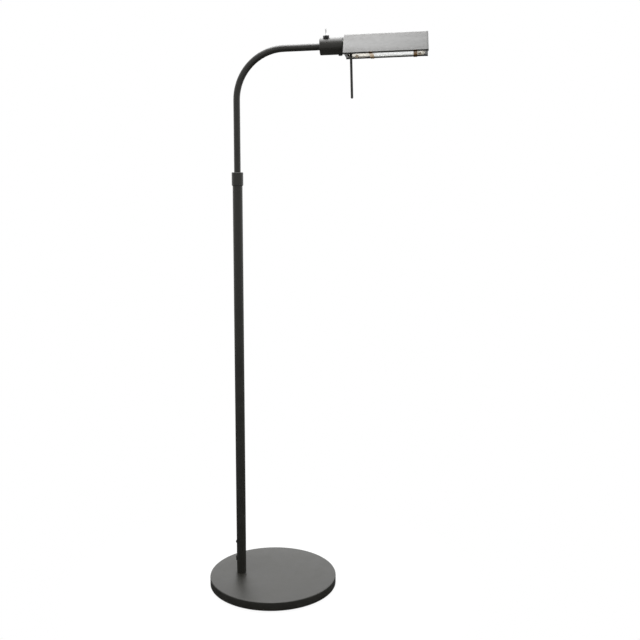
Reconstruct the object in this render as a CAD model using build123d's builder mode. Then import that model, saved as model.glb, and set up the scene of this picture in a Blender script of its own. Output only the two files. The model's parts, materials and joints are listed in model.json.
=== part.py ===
from build123d import *
import os
from math import asin, atan2, cos, degrees, radians, sin

# Pharmacy floor lamp in millimetres: a weighted disc base, a pole, a bent tube that slides and turns in the
# pole's collar, and a tent shade that turns on the tube's end. The origin is the middle of the base on the
# floor, +Z is up and +X runs from the pole towards the shade.

# Clearances, per side
THREAD_CLEAR = 0.05
RUN_CLEAR = 0.05
SLIDE_CLEAR = 0.08
BOLT_CLEAR = 0.25
SHEET_CLEAR = 0.1
FREE_CLEAR = 0.3

# Edge break on the foot plug, the handle block and the lamp holders
EDGE_BREAK = 0.8

# Base: spun steel cover over a cast weight, with a felt pad under it
BASE_D = 258.0
BASE_H = 18.0
COVER_T = 1.2
COVER_EDGE_R = 2.0
RIM_LIFT = 0.8
PAD_T = 2.0
PAD_MARGIN = 1.0
WEIGHT_MARGIN = 0.6
WEIGHT_EDGE = 1.5
POLE_OFFSET = 66.0

# Foot: the pole stands on the cover, held by a stud that passes through the weight
STUD_D = 10.0
PLUG_H = 20.0
POCKET_D = 36.0
FOOT_WASHER_D = 30.0
FOOT_WASHER_T = 2.0
FOOT_LOCK_D = 18.0
FOOT_LOCK_T = 2.2
FOOT_NUT_FLATS = 17.0
FOOT_NUT_H = 5.0
STUD_END_GAP = 0.6

# Pole and what is fixed in its wall
POLE_D = 19.05
POLE_WALL = 1.25
INLET_Z = 48.5
INLET_HOLE_D = 8.0
INLET_CORD_D = 5.6
GROMMET_FLANGE_D = 10.5
GROMMET_FLANGE_T = 1.8
GROMMET_ROUND = 0.6
EARTH_Z = 84.0
EARTH_SCREW_D = 4.0
EARTH_HEAD_D = 6.0
EARTH_HEAD_H = 1.6
EARTH_ROUND = 1.4
EARTH_SHANK_L = 6.0

# Collar over the pole's top, and the split bush inside it
COLLAR_Z = 809.5
COLLAR_D = 22.2
COLLAR_H = 25.4
COLLAR_DEPTH = 15.0
COLLAR_EDGE = 0.8
BUSH_L = 40.0
BUSH_SLIT = 1.5
PIN_DROP = 10.7
PIN_D = 2.4
PIN_HEAD_D = 3.4
PIN_HEAD_H = 0.7
PIN_ROUND = 0.6
PIN_BEARING = -70.0
GROOVE_DEPTH = 1.1
SWIVEL_LIMIT = 160.0
GROOVE_SPARE = 1.0

# Upper tube: straight stem, one bend and a slightly rising arm
TUBE_D = 12.7
TUBE_WALL = 1.2
ARM_Z = 1060.6
ARM_RISE = 2.0
BEND_R = 94.0
LIFT_TRAVEL = 250.0
GUIDE_L = 18.0
GUIDE_STOP_GAP = 2.0
GUIDE_PIN_D = 3.0

# Swivel housing on the arm's end
HOUSING_REACH = 158.5
HOUSING_D = 31.2
HOUSING_BORE = 26.0
HOUSING_L = 43.7
HOUSING_BACK = 3.0
HOUSING_EDGE = 0.8
LOCK_WASHER_D = 20.0
LOCK_WASHER_T = 0.8
LOCK_NUT_FLATS = 17.0
LOCK_NUT_H = 3.0
TUBE_PROUD = 0.4
CAP_L = 12.0
TENSION_D = 4.0
TENSION_HEAD_D = 7.2
TENSION_HEAD_H = 2.6
TENSION_ROUND = 0.6
TENSION_SLOT_W = 0.9
TENSION_SLOT_DEPTH = 1.3
TENSION_SPOT = 0.4
PAD_CYL_D = 3.6
PAD_CYL_L = 3.0

# Toggle switch in the housing, turned from its top towards the front
SWITCH_TURN = 18.0
SWITCH_GAP = 1.0
SWITCH_LONG = 13.2
SWITCH_WIDE = 7.9
SWITCH_HIGH = 9.5
SWITCH_SINK = 2.0
SWITCH_SPOT = 1.0
SPOT_MARGIN = 0.3
TERMINAL_L = 5.0
TERMINAL_W = 2.0
TERMINAL_T = 0.8
TERMINAL_PITCH = 4.7
BUSHING_D = 6.35
BUSHING_BORE = 4.1
BUSHING_PROUD = 7.0
SWITCH_WASHER_D = 11.0
SWITCH_WASHER_T = 0.8
SWITCH_NUT_FLATS = 10.0
SWITCH_NUT_H = 5.0
LEVER_TILT = 12.0
LEVER_SINK = 2.8
LEVER_BALL_D = 3.6
LEVER_NECK_D = 1.9
LEVER_NECK_L = 3.4
LEVER_TIP_D = 3.8
LEVER_L = 15.0

# Swivel stem that carries the shade
STEM_D = 10.0
STEM_BORE = 6.0
THRUST_D = 25.0
THRUST_T = 0.75
FLANGE_D = 22.0
FLANGE_T = 1.0
WAVE_D = 18.0
WAVE_T = 1.0
RETAIN_FLATS = 15.0
RETAIN_H = 4.0
STEM_NUT_FLATS = 15.0
STEM_NUT_H = 3.5
STEM_TAIL = 1.2
BLOCK_L = 14.0
BLOCK_W = 12.0
BLOCK_TOP = 6.0
BLOCK_DROP = 13.0
STEM_GRIP = 6.0
ROD_D = 4.75
ROD_DROP = 96.1
ROD_SPIGOT_D = 4.0
ROD_SPIGOT_L = 6.0

# Tent shade: folded sheet with vertical lips, turned-in hems and pressed end pans
SHADE_L = 154.6
SHADE_W = 90.0
SHADE_T = 1.0
LIP_Z = -17.6
LIP_H = 2.3
APEX_RISE = 39.5
RIDGE_R = 7.0
FOLD_R = 1.2
HEM_W = 5.0
END_INSET = 0.4
END_T = 1.2
END_DEPTH = 6.0

# Reflector on studs under the shade's panels
STUD_L = 4.0
REFLECTOR_T = 0.6
REFLECTOR_TOP = 7.0
REFLECTOR_EDGE = 2.0
REFLECTOR_START = 3.0
REFLECTOR_PAST = 2.5
STUD_UP = 6.0
STUD_OD = 6.0
STUD_INSET_INNER = 11.7
STUD_INSET_OUTER = 5.0
SCREW_D = 3.0
SCREW_HEAD_D = 5.5
SCREW_HEAD_H = 2.0
STUD_THREAD = 3.0

# Double-ended halogen lamp in ceramic holders
BULB_L = 74.9
BULB_D = 10.0
BULB_WALL = 1.0
BULB_PINCH = 3.0
BULB_END_D = 7.0
BULB_END_L = 9.0
BULB_DROP = 2.5
FILAMENT_D = 1.2
HOLDER_L = 14.0
HOLDER_W = 13.0
HOLDER_H = 14.0
LEAD_ROOM = 6.15
BRACKET_T = 1.0
BRACKET_W = 13.0
BRACKET_END = 2.0
HOLDER_SCREW_PITCH = 8.0
HOLDER_SCREW_L = 6.0
CONTACT_D = 3.0
CONTACT_SINK = 4.0
LEAD_D = 1.8
LEAD_BEND_R = 2.0

# Glass shield over the hems, carried by two bronze straps that spring over the lips and step up inside them
GLASS_L = 86.0
GLASS_W = 81.0
GLASS_T = 2.0
GLASS_LIFT = 1.0
STRAP_W = 7.0
STRAP_T = 0.8
STRAP_LEDGE = 0.9
STRAP_TURN_UP = 2.2

# Heights and radii that follow from the sizes above
POLE_X = -POLE_OFFSET
POLE_BORE_R = POLE_D / 2 - POLE_WALL
WEIGHT_TOP = BASE_H - COVER_T
FOOT_STACK = FOOT_WASHER_T + FOOT_LOCK_T + FOOT_NUT_H + STUD_END_GAP
POCKET_TOP = PAD_T + FOOT_STACK
POLE_TOP = COLLAR_Z + COLLAR_DEPTH
BUSH_TOP = POLE_TOP - FREE_CLEAR
BUSH_FOOT = BUSH_TOP - BUSH_L
PIN_Z = COLLAR_Z - PIN_DROP
TUBE_FOOT = BUSH_FOOT - LIFT_TRAVEL - GUIDE_STOP_GAP - GUIDE_L

# Places along the arm, counted from the pole's axis
BACK_INNER = HOUSING_REACH + HOUSING_BACK
LOCK_NUT_S = BACK_INNER + LOCK_WASHER_T
TUBE_END = LOCK_NUT_S + LOCK_NUT_H + TUBE_PROUD
SWITCH_S = TUBE_END + SWITCH_GAP + SWITCH_WIDE / 2
HOUSING_FRONT = HOUSING_REACH + HOUSING_L
CAP_S = HOUSING_FRONT - CAP_L
TENSION_S = CAP_S + CAP_L / 2
WAVE_S = CAP_S - RUN_CLEAR - WAVE_T
RETAIN_S = WAVE_S - RETAIN_H
STEM_BACK = RETAIN_S - STEM_TAIL
THRUST_S = HOUSING_FRONT + RUN_CLEAR
FLANGE_S = THRUST_S + THRUST_T
INNER_END_S = FLANGE_S + FLANGE_T
SHADE_S = INNER_END_S - END_INSET
SHADE_END = SHADE_S + SHADE_L
STEM_NUT_S = INNER_END_S + END_T
BLOCK_S = STEM_NUT_S + STEM_NUT_H
STEM_FRONT = BLOCK_S + STEM_GRIP
ROD_S = BLOCK_S + BLOCK_L / 2
OUTER_END_S = SHADE_END - END_INSET - END_DEPTH
HOLDER_OUTER_S = OUTER_END_S - LEAD_ROOM - HOLDER_L
BULB_S = HOLDER_OUTER_S - BULB_L / 2
HOLDER_INNER_S = BULB_S - BULB_L / 2 - HOLDER_L
REFLECTOR_S = INNER_END_S + END_DEPTH + REFLECTOR_START
REFLECTOR_END = HOLDER_OUTER_S + HOLDER_L + REFLECTOR_PAST

# Heights in the head, counted from the arm's axis; the switch's run along its own direction
SWITCH_FLAT = HOUSING_D / 2 - SWITCH_SPOT
SWITCH_TOP = HOUSING_BORE / 2 - SWITCH_SINK
BUSHING_TOP = SWITCH_FLAT + BUSHING_PROUD
LEVER_PIVOT = BUSHING_TOP - LEVER_SINK
LIP_BOTTOM = LIP_Z - LIP_H
HEM_TOP = LIP_BOTTOM + SHADE_T
STRAP_FOOT = LIP_BOTTOM - STRAP_T
STRAP_TOP = HEM_TOP + GLASS_LIFT
BRACKET_Z = REFLECTOR_TOP - REFLECTOR_T - BRACKET_T
STUD_Z = LIP_Z + STUD_UP
REFLECTOR_FOOT = LIP_Z + REFLECTOR_EDGE
PANEL_SLOPE = atan2(APEX_RISE, SHADE_W / 2)

# The head's own frame: x along the arm, y across it, z square to both
HEAD = Plane(
    origin=(POLE_X, 0, ARM_Z),
    x_dir=(cos(radians(ARM_RISE)), 0, sin(radians(ARM_RISE))),
    z_dir=(-sin(radians(ARM_RISE)), 0, cos(radians(ARM_RISE))),
)
HEAD_UP = Axis(HEAD.origin, HEAD.z_dir)
SWITCH_OUT = HEAD.z_dir * cos(radians(SWITCH_TURN)) - HEAD.y_dir * sin(radians(SWITCH_TURN))

os.makedirs("parts", exist_ok=True)


def across(s):
    """Plane square to the arm at s, facing along it: x is across, y is up."""
    return Plane(origin=HEAD.from_local_coords((s, 0, 0)), x_dir=HEAD.y_dir, z_dir=HEAD.x_dir)


def level(s, height, across_arm=0.0):
    """Plane along the arm at a height over its axis, facing up."""
    return Plane(
        origin=HEAD.from_local_coords((s, across_arm, height)), x_dir=HEAD.x_dir, z_dir=HEAD.z_dir
    )


def under(s, height):
    """Plane along the arm at a height over its axis, facing down."""
    return Plane(origin=HEAD.from_local_coords((s, 0, height)), x_dir=HEAD.x_dir, z_dir=-HEAD.z_dir)


def spoke(height):
    """Plane along the arm at the switch, a height from the arm's axis, facing the switch's way out."""
    foot = HEAD.from_local_coords((SWITCH_S, 0, 0)) + SWITCH_OUT * height
    return Plane(origin=foot, x_dir=HEAD.x_dir, z_dir=SWITCH_OUT)


def panel_y(height, depth):
    """Half breadth at a height of a plane that lies depth under the shade's outer panel."""
    return SHADE_W / 2 - (height - LIP_Z + depth / cos(PANEL_SLOPE)) * SHADE_W / 2 / APEX_RISE


def panel_plane(s, side, depth):
    """Plane on the panel at side (1 or -1), depth under its outer face at stud height, facing inwards."""
    outward = HEAD.y_dir * (side * sin(PANEL_SLOPE)) + HEAD.z_dir * cos(PANEL_SLOPE)
    foot = HEAD.from_local_coords((s, side * panel_y(STUD_Z, 0), STUD_Z))
    return Plane(origin=foot - outward * depth, x_dir=HEAD.x_dir, z_dir=-outward)


def tent_face(inset):
    """Cross-section of the closed tent, drawn in by inset on every side."""
    half = SHADE_W / 2
    with BuildSketch() as tent:
        with BuildLine():
            Polyline(
                (-half, LIP_BOTTOM),
                (-half, LIP_Z),
                (0, LIP_Z + APEX_RISE),
                (half, LIP_Z),
                (half, LIP_BOTTOM),
                close=True,
            )
        make_face()
        fillet(tent.vertices().sort_by(Axis.Y)[-1], RIDGE_R)
        fillet(tent.vertices().filter_by_position(Axis.Y, LIP_Z - FOLD_R, LIP_Z + FOLD_R), FOLD_R)
        offset(amount=-inset, kind=Kind.INTERSECTION, mode=Mode.REPLACE)
    return tent.sketch


def ring(plane, outer_d, bore_d, height):
    """Flat washer that grows from the plane."""
    with BuildPart() as washer:
        with BuildSketch(plane):
            Circle(outer_d / 2)
            Circle(bore_d / 2, mode=Mode.SUBTRACT)
        extrude(amount=height)
    return washer


def hex_nut(plane, flats, thread_d, height):
    """Hexagon nut that grows from the plane, bored for its thread."""
    with BuildPart() as nut:
        with BuildSketch(plane):
            RegularPolygon(flats / 2, 6, major_radius=False)
            Circle(thread_d / 2 + THREAD_CLEAR, mode=Mode.SUBTRACT)
        extrude(amount=height)
    return nut


def save(piece, name):
    """Label a finished piece and write its STEP file."""
    piece.part.label = name
    export_step(piece.part, f"parts/{name}.step")


# Felt pad glued under the weight
with BuildPart() as base_pad:
    with BuildSketch():
        Circle(BASE_D / 2 - COVER_T - PAD_MARGIN)
    extrude(amount=PAD_T)
save(base_pad, "base_pad")

# Cast weight with a pocket for the foot nut
with BuildPart() as base_weight:
    with BuildSketch(Plane.XY.offset(PAD_T)):
        Circle(BASE_D / 2 - COVER_T - WEIGHT_MARGIN)
    extrude(amount=WEIGHT_TOP - PAD_T)
    chamfer(base_weight.faces().sort_by(Axis.Z)[-1].edges(), WEIGHT_EDGE)
    with BuildSketch(Plane.XY.offset(PAD_T)):
        with Locations((POLE_X, 0)):
            Circle(POCKET_D / 2)
    extrude(amount=POCKET_TOP - PAD_T, mode=Mode.SUBTRACT)
    with Locations((POLE_X, 0, WEIGHT_TOP)):
        Hole(STUD_D / 2 + BOLT_CLEAR)
save(base_weight, "base_weight")

# Spun cover with a rounded edge
with BuildPart() as base_cover:
    with BuildSketch(Plane.XY.offset(RIM_LIFT)):
        Circle(BASE_D / 2)
    extrude(amount=BASE_H - RIM_LIFT)
    fillet(base_cover.faces().sort_by(Axis.Z)[-1].edges(), COVER_EDGE_R)
    offset(amount=-COVER_T, openings=base_cover.faces().sort_by(Axis.Z)[0])
    with Locations((POLE_X, 0, BASE_H)):
        Hole(STUD_D / 2 + BOLT_CLEAR)
save(base_cover, "base_cover")

# Foot stud: a plug brazed into the pole with a thread below it
with BuildPart() as foot_stud:
    with BuildSketch(Plane.XY.offset(BASE_H)):
        with Locations((POLE_X, 0)):
            Circle(POLE_BORE_R - THREAD_CLEAR)
    extrude(amount=PLUG_H)
    chamfer(foot_stud.faces().sort_by(Axis.Z)[-1].edges(), EDGE_BREAK)
    with BuildSketch(Plane.XY.offset(BASE_H)):
        with Locations((POLE_X, 0)):
            Circle(STUD_D / 2)
    extrude(amount=PAD_T + STUD_END_GAP - BASE_H)
save(foot_stud, "foot_stud")

# Washers and nut in the pocket, clamped up against the weight
LOCK_Z = POCKET_TOP - FOOT_WASHER_T - FOOT_LOCK_T
POLE_AXIS_PLANE = Plane((POLE_X, 0, 0))
foot_washer = ring(
    POLE_AXIS_PLANE.offset(POCKET_TOP - FOOT_WASHER_T), FOOT_WASHER_D, STUD_D + 2 * BOLT_CLEAR, FOOT_WASHER_T
)
save(foot_washer, "foot_washer")
foot_lock_washer = ring(
    POLE_AXIS_PLANE.offset(LOCK_Z), FOOT_LOCK_D, STUD_D + 2 * BOLT_CLEAR, FOOT_LOCK_T
)
save(foot_lock_washer, "foot_lock_washer")
foot_nut = hex_nut(POLE_AXIS_PLANE.offset(LOCK_Z - FOOT_NUT_H), FOOT_NUT_FLATS, STUD_D, FOOT_NUT_H)
save(foot_nut, "foot_nut")

# Planes in the pole's wall: cord inlet and earth screw at the back, bush pin at the front
INLET_PLANE = Plane((POLE_X, 0, INLET_Z), x_dir=(0, 1, 0), z_dir=(-1, 0, 0))
EARTH_PLANE = Plane((POLE_X, 0, EARTH_Z), x_dir=(0, 1, 0), z_dir=(-1, 0, 0))
PIN_DIRECTION = Vector(cos(radians(PIN_BEARING)), sin(radians(PIN_BEARING)), 0)
PIN_PLANE = Plane((POLE_X, 0, PIN_Z), x_dir=(0, 0, 1), z_dir=PIN_DIRECTION)

# Pole: seamed steel tube with three holes
with BuildPart() as pole_tube:
    with BuildSketch(POLE_AXIS_PLANE.offset(BASE_H)):
        Circle(POLE_D / 2)
        Circle(POLE_BORE_R, mode=Mode.SUBTRACT)
    extrude(amount=POLE_TOP - BASE_H)
    for plane, hole_d in (
        (INLET_PLANE, INLET_HOLE_D + 2 * THREAD_CLEAR),
        (EARTH_PLANE, EARTH_SCREW_D + 2 * THREAD_CLEAR),
        (PIN_PLANE, PIN_D + 2 * THREAD_CLEAR),
    ):
        with BuildSketch(plane):
            Circle(hole_d / 2)
        extrude(amount=POLE_D, mode=Mode.SUBTRACT)
save(pole_tube, "pole_tube")

# Cord inlet grommet: a sleeve through the wall with a flange outside
with BuildPart() as cord_grommet:
    with BuildSketch(INLET_PLANE.offset(POLE_BORE_R)):
        Circle(GROMMET_FLANGE_D / 2)
    extrude(amount=POLE_WALL + GROMMET_FLANGE_T)
    fillet(cord_grommet.faces().sort_by(Axis.X)[0].edges(), GROMMET_ROUND)
    with BuildSketch(POLE_AXIS_PLANE.offset(INLET_Z - POLE_D)):
        Circle(POLE_D / 2 + THREAD_CLEAR)
    extrude(amount=2 * POLE_D, mode=Mode.SUBTRACT)
    with BuildSketch(INLET_PLANE.offset(POLE_BORE_R)):
        Circle(INLET_HOLE_D / 2)
    extrude(amount=POLE_WALL)
    with BuildSketch(INLET_PLANE):
        Circle(INLET_CORD_D / 2)
    extrude(amount=POLE_D, mode=Mode.SUBTRACT)
save(cord_grommet, "cord_grommet")

# Earth screw: dome head on the pole, thread through its wall
with BuildPart() as earth_screw:
    with BuildSketch(EARTH_PLANE.offset(POLE_D / 2)):
        Circle(EARTH_HEAD_D / 2)
    extrude(amount=EARTH_HEAD_H)
    fillet(earth_screw.faces().sort_by(Axis.X)[0].edges(), EARTH_ROUND)
    with BuildSketch(EARTH_PLANE.offset(POLE_D / 2)):
        Circle(EARTH_SCREW_D / 2)
    extrude(amount=-EARTH_SHANK_L)
save(earth_screw, "earth_screw")

# Guide collar: slips over the pole's end and closes in on the tube
with BuildPart() as guide_collar:
    with BuildSketch(POLE_AXIS_PLANE.offset(COLLAR_Z)):
        Circle(COLLAR_D / 2)
    extrude(amount=COLLAR_H)
    chamfer(guide_collar.edges().filter_by(GeomType.CIRCLE), COLLAR_EDGE)
    with BuildSketch(POLE_AXIS_PLANE.offset(COLLAR_Z)):
        Circle(POLE_D / 2 + THREAD_CLEAR)
    extrude(amount=COLLAR_DEPTH, mode=Mode.SUBTRACT)
    with BuildSketch(POLE_AXIS_PLANE.offset(POLE_TOP)):
        Circle(TUBE_D / 2 + FREE_CLEAR)
    extrude(amount=COLLAR_H, mode=Mode.SUBTRACT)
save(guide_collar, "guide_collar")

# Bush pin: domed rivet whose tip runs in the bush's groove
GROOVE_R = POLE_BORE_R - RUN_CLEAR - GROOVE_DEPTH
PIN_TIP_R = GROOVE_R + RUN_CLEAR
with BuildPart() as bush_pin:
    with BuildSketch(PIN_PLANE.offset(PIN_TIP_R)):
        Circle(PIN_D / 2)
    extrude(amount=POLE_D / 2 - PIN_TIP_R)
    with BuildSketch(PIN_PLANE.offset(POLE_D / 2)):
        Circle(PIN_HEAD_D / 2)
    extrude(amount=PIN_HEAD_H)
    fillet(bush_pin.faces().sort_by(Axis((POLE_X, 0, PIN_Z), PIN_DIRECTION))[-1].edges(), PIN_ROUND)
save(bush_pin, "bush_pin")

# Friction bush: split nylon sleeve, with a groove that stops short of a full turn
PIN_HALF_TURN = degrees(asin(PIN_D / 2 / PIN_TIP_R))
GROOVE_HALF = SWIVEL_LIMIT + PIN_HALF_TURN + GROOVE_SPARE
GROOVE_PLANE = Plane((POLE_X, 0, 0), x_dir=PIN_DIRECTION, z_dir=PIN_DIRECTION.cross(Vector(0, 0, 1)))
POLE_AXIS = Axis((POLE_X, 0, 0), (0, 0, 1))
with BuildPart() as friction_bush:
    with BuildSketch(POLE_AXIS_PLANE.offset(BUSH_FOOT)):
        Circle(POLE_BORE_R - RUN_CLEAR)
        Circle(TUBE_D / 2 + RUN_CLEAR, mode=Mode.SUBTRACT)
    extrude(amount=BUSH_L)
    for turn in (-GROOVE_HALF, GROOVE_HALF):
        with BuildSketch(GROOVE_PLANE):
            with Locations((GROOVE_R + GROOVE_DEPTH, PIN_Z)):
                Rectangle(2 * GROOVE_DEPTH, PIN_D + 2 * RUN_CLEAR)
        revolve(axis=POLE_AXIS, revolution_arc=turn, mode=Mode.SUBTRACT)
    with BuildSketch(POLE_AXIS_PLANE.offset(BUSH_FOOT)):
        with Locations((POLE_D / 2, 0)):
            Rectangle(POLE_D, BUSH_SLIT)
    extrude(amount=BUSH_L, mode=Mode.SUBTRACT)
save(friction_bush, "friction_bush")

# Upper tube bent from one length, with a cross hole for the guide pin
GUIDE_PIN_Z = TUBE_FOOT + GUIDE_L / 2
GUIDE_PIN_PLANE = Plane((POLE_X, 0, GUIDE_PIN_Z), x_dir=(1, 0, 0), z_dir=(0, 1, 0))
with BuildPart() as arm_tube:
    with BuildLine() as arm_line:
        FilletPolyline(
            (POLE_X, 0, TUBE_FOOT),
            HEAD.from_local_coords((0, 0, 0)),
            HEAD.from_local_coords((TUBE_END, 0, 0)),
            radius=BEND_R,
        )
    with BuildSketch(POLE_AXIS_PLANE.offset(TUBE_FOOT)):
        Circle(TUBE_D / 2)
        Circle(TUBE_D / 2 - TUBE_WALL, mode=Mode.SUBTRACT)
    sweep()
    with BuildSketch(GUIDE_PIN_PLANE):
        Circle(GUIDE_PIN_D / 2 + THREAD_CLEAR)
    extrude(amount=TUBE_D, both=True, mode=Mode.SUBTRACT)
save(arm_tube, "arm_tube")

# Lower guide on the tube's foot, and the pin that holds it
GUIDE_R = POLE_BORE_R - SLIDE_CLEAR
with BuildPart() as lower_guide:
    with BuildSketch(POLE_AXIS_PLANE.offset(TUBE_FOOT)):
        Circle(GUIDE_R)
        Circle(TUBE_D / 2 + THREAD_CLEAR, mode=Mode.SUBTRACT)
    extrude(amount=GUIDE_L)
    with BuildSketch(GUIDE_PIN_PLANE):
        Circle(GUIDE_PIN_D / 2 + THREAD_CLEAR)
    extrude(amount=POLE_D, both=True, mode=Mode.SUBTRACT)
save(lower_guide, "lower_guide")

with BuildPart() as guide_pin:
    with BuildSketch(GUIDE_PIN_PLANE):
        Circle(GUIDE_PIN_D / 2)
    extrude(amount=GUIDE_R - FREE_CLEAR, both=True)
save(guide_pin, "guide_pin")

# Swivel housing: turned cup screwed on the arm's end
with BuildPart() as swivel_housing:
    with BuildSketch(across(HOUSING_REACH)):
        Circle(HOUSING_D / 2)
    extrude(amount=HOUSING_L)
    chamfer(swivel_housing.edges().filter_by(GeomType.CIRCLE), HOUSING_EDGE)
    with BuildSketch(across(BACK_INNER)):
        Circle(HOUSING_BORE / 2)
    extrude(amount=HOUSING_L, mode=Mode.SUBTRACT)
    with BuildSketch(across(HOUSING_REACH)):
        Circle(TUBE_D / 2 + THREAD_CLEAR)
    extrude(amount=HOUSING_BACK, mode=Mode.SUBTRACT)
    with BuildSketch(spoke(SWITCH_FLAT)):
        Circle(SWITCH_WASHER_D / 2 + SPOT_MARGIN)
    extrude(amount=HOUSING_D, mode=Mode.SUBTRACT)
    with BuildSketch(spoke(0)):
        Circle(BUSHING_D / 2 + THREAD_CLEAR)
    extrude(amount=HOUSING_D, mode=Mode.SUBTRACT)
    with BuildSketch(under(TENSION_S, TENSION_SPOT - HOUSING_D / 2)):
        Circle(TENSION_HEAD_D / 2 + SPOT_MARGIN)
    extrude(amount=HOUSING_D, mode=Mode.SUBTRACT)
    with BuildSketch(under(TENSION_S, 0)):
        Circle(TENSION_D / 2 + BOLT_CLEAR)
    extrude(amount=HOUSING_D, mode=Mode.SUBTRACT)
save(swivel_housing, "swivel_housing")

# Lock washer and nut on the arm's thread, inside the housing
arm_lock_washer = ring(across(BACK_INNER), LOCK_WASHER_D, TUBE_D + 2 * BOLT_CLEAR, LOCK_WASHER_T)
save(arm_lock_washer, "arm_lock_washer")
arm_lock_nut = hex_nut(across(LOCK_NUT_S), LOCK_NUT_FLATS, TUBE_D, LOCK_NUT_H)
save(arm_lock_nut, "arm_lock_nut")

# Cap that closes the housing and is the stem's bearing
with BuildPart() as housing_cap:
    with BuildSketch(across(CAP_S)):
        Circle(HOUSING_BORE / 2 - THREAD_CLEAR)
        Circle(STEM_D / 2 + RUN_CLEAR, mode=Mode.SUBTRACT)
    extrude(amount=CAP_L)
    with BuildSketch(under(TENSION_S, 0)):
        Circle(TENSION_D / 2 + THREAD_CLEAR)
    extrude(amount=HOUSING_D, mode=Mode.SUBTRACT)
save(housing_cap, "housing_cap")

# Tension screw under the housing, and the nylon pad it presses on the stem
PAD_TOP = STEM_D / 2 + SHEET_CLEAR
PAD_FOOT = PAD_TOP + PAD_CYL_L
TENSION_SEAT = HOUSING_D / 2 - TENSION_SPOT
with BuildPart() as tension_pad:
    with BuildSketch(under(TENSION_S, -PAD_TOP)):
        Circle(PAD_CYL_D / 2)
    extrude(amount=PAD_CYL_L)
save(tension_pad, "tension_pad")

with BuildPart() as tension_screw:
    with BuildSketch(under(TENSION_S, -PAD_FOOT)):
        Circle(TENSION_D / 2)
    extrude(amount=TENSION_SEAT - PAD_FOOT)
    with BuildSketch(under(TENSION_S, -TENSION_SEAT)):
        Circle(TENSION_HEAD_D / 2)
    extrude(amount=TENSION_HEAD_H)
    fillet(tension_screw.edges().sort_by(HEAD_UP)[0], TENSION_ROUND)
    with BuildSketch(under(TENSION_S, -TENSION_SEAT - TENSION_HEAD_H)):
        Rectangle(TENSION_HEAD_D, TENSION_SLOT_W)
    extrude(amount=-TENSION_SLOT_DEPTH, mode=Mode.SUBTRACT)
save(tension_screw, "tension_screw")

# Switch body with its two terminals, threaded bushing, washer and nut
SWITCH_FOOT = SWITCH_TOP - SWITCH_HIGH
with BuildPart() as switch_body:
    with BuildSketch(spoke(SWITCH_FOOT)):
        Rectangle(SWITCH_WIDE, SWITCH_LONG)
    extrude(amount=SWITCH_HIGH)
save(switch_body, "switch_body")

with BuildPart() as switch_terminals:
    with BuildSketch(spoke(SWITCH_FOOT)):
        with GridLocations(1, TERMINAL_PITCH, 1, 2):
            Rectangle(TERMINAL_W, TERMINAL_T)
    extrude(amount=-TERMINAL_L)
save(switch_terminals, "switch_terminals")

switch_bushing = ring(spoke(SWITCH_TOP), BUSHING_D, BUSHING_BORE, BUSHING_TOP - SWITCH_TOP)
save(switch_bushing, "switch_bushing")
switch_washer = ring(
    spoke(SWITCH_FLAT), SWITCH_WASHER_D, BUSHING_D + 2 * THREAD_CLEAR, SWITCH_WASHER_T
)
save(switch_washer, "switch_washer")
switch_nut = hex_nut(
    spoke(SWITCH_FLAT + SWITCH_WASHER_T), SWITCH_NUT_FLATS, BUSHING_D, SWITCH_NUT_H
)
save(switch_nut, "switch_nut")

# Toggle lever: ball in the bushing, slim neck and a bat that swells to a round tip
LEVER_LEAN = radians(SWITCH_TURN - LEVER_TILT)
LEVER_DIRECTION = HEAD.z_dir * cos(LEVER_LEAN) - HEAD.y_dir * sin(LEVER_LEAN)
LEVER_PLANE = Plane(origin=spoke(LEVER_PIVOT).origin, x_dir=HEAD.x_dir, z_dir=LEVER_DIRECTION)
with BuildPart(LEVER_PLANE) as toggle_lever:
    Sphere(LEVER_BALL_D / 2)
    Cylinder(LEVER_NECK_D / 2, LEVER_NECK_L, align=(Align.CENTER, Align.CENTER, Align.MIN))
    with Locations((0, 0, LEVER_NECK_L)):
        Cone(
            LEVER_NECK_D / 2,
            LEVER_TIP_D / 2,
            LEVER_L - LEVER_NECK_L - LEVER_TIP_D / 2,
            align=(Align.CENTER, Align.CENTER, Align.MIN),
        )
    with Locations((0, 0, LEVER_L - LEVER_TIP_D / 2)):
        Sphere(LEVER_TIP_D / 2)
save(toggle_lever, "toggle_lever")

# Swivel stem: hollow, flanged against the shade's end plate
with BuildPart() as swivel_stem:
    with BuildSketch(across(STEM_BACK)):
        Circle(STEM_D / 2)
    extrude(amount=STEM_FRONT - STEM_BACK)
    with BuildSketch(across(FLANGE_S)):
        Circle(FLANGE_D / 2)
    extrude(amount=FLANGE_T)
    with BuildSketch(across(STEM_BACK)):
        Circle(STEM_BORE / 2)
    extrude(amount=STEM_FRONT - STEM_BACK, mode=Mode.SUBTRACT)
save(swivel_stem, "swivel_stem")

# Washers and nuts on the stem, on both sides of the bearing
thrust_washer = ring(across(THRUST_S), THRUST_D, STEM_D + 2 * SHEET_CLEAR, THRUST_T)
save(thrust_washer, "thrust_washer")
wave_washer = ring(across(WAVE_S), WAVE_D, STEM_D + 2 * SHEET_CLEAR, WAVE_T)
save(wave_washer, "wave_washer")
retaining_nut = hex_nut(across(RETAIN_S), RETAIN_FLATS, STEM_D, RETAIN_H)
save(retaining_nut, "retaining_nut")
stem_lock_nut = hex_nut(across(STEM_NUT_S), STEM_NUT_FLATS, STEM_D, STEM_NUT_H)
save(stem_lock_nut, "stem_lock_nut")

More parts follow.
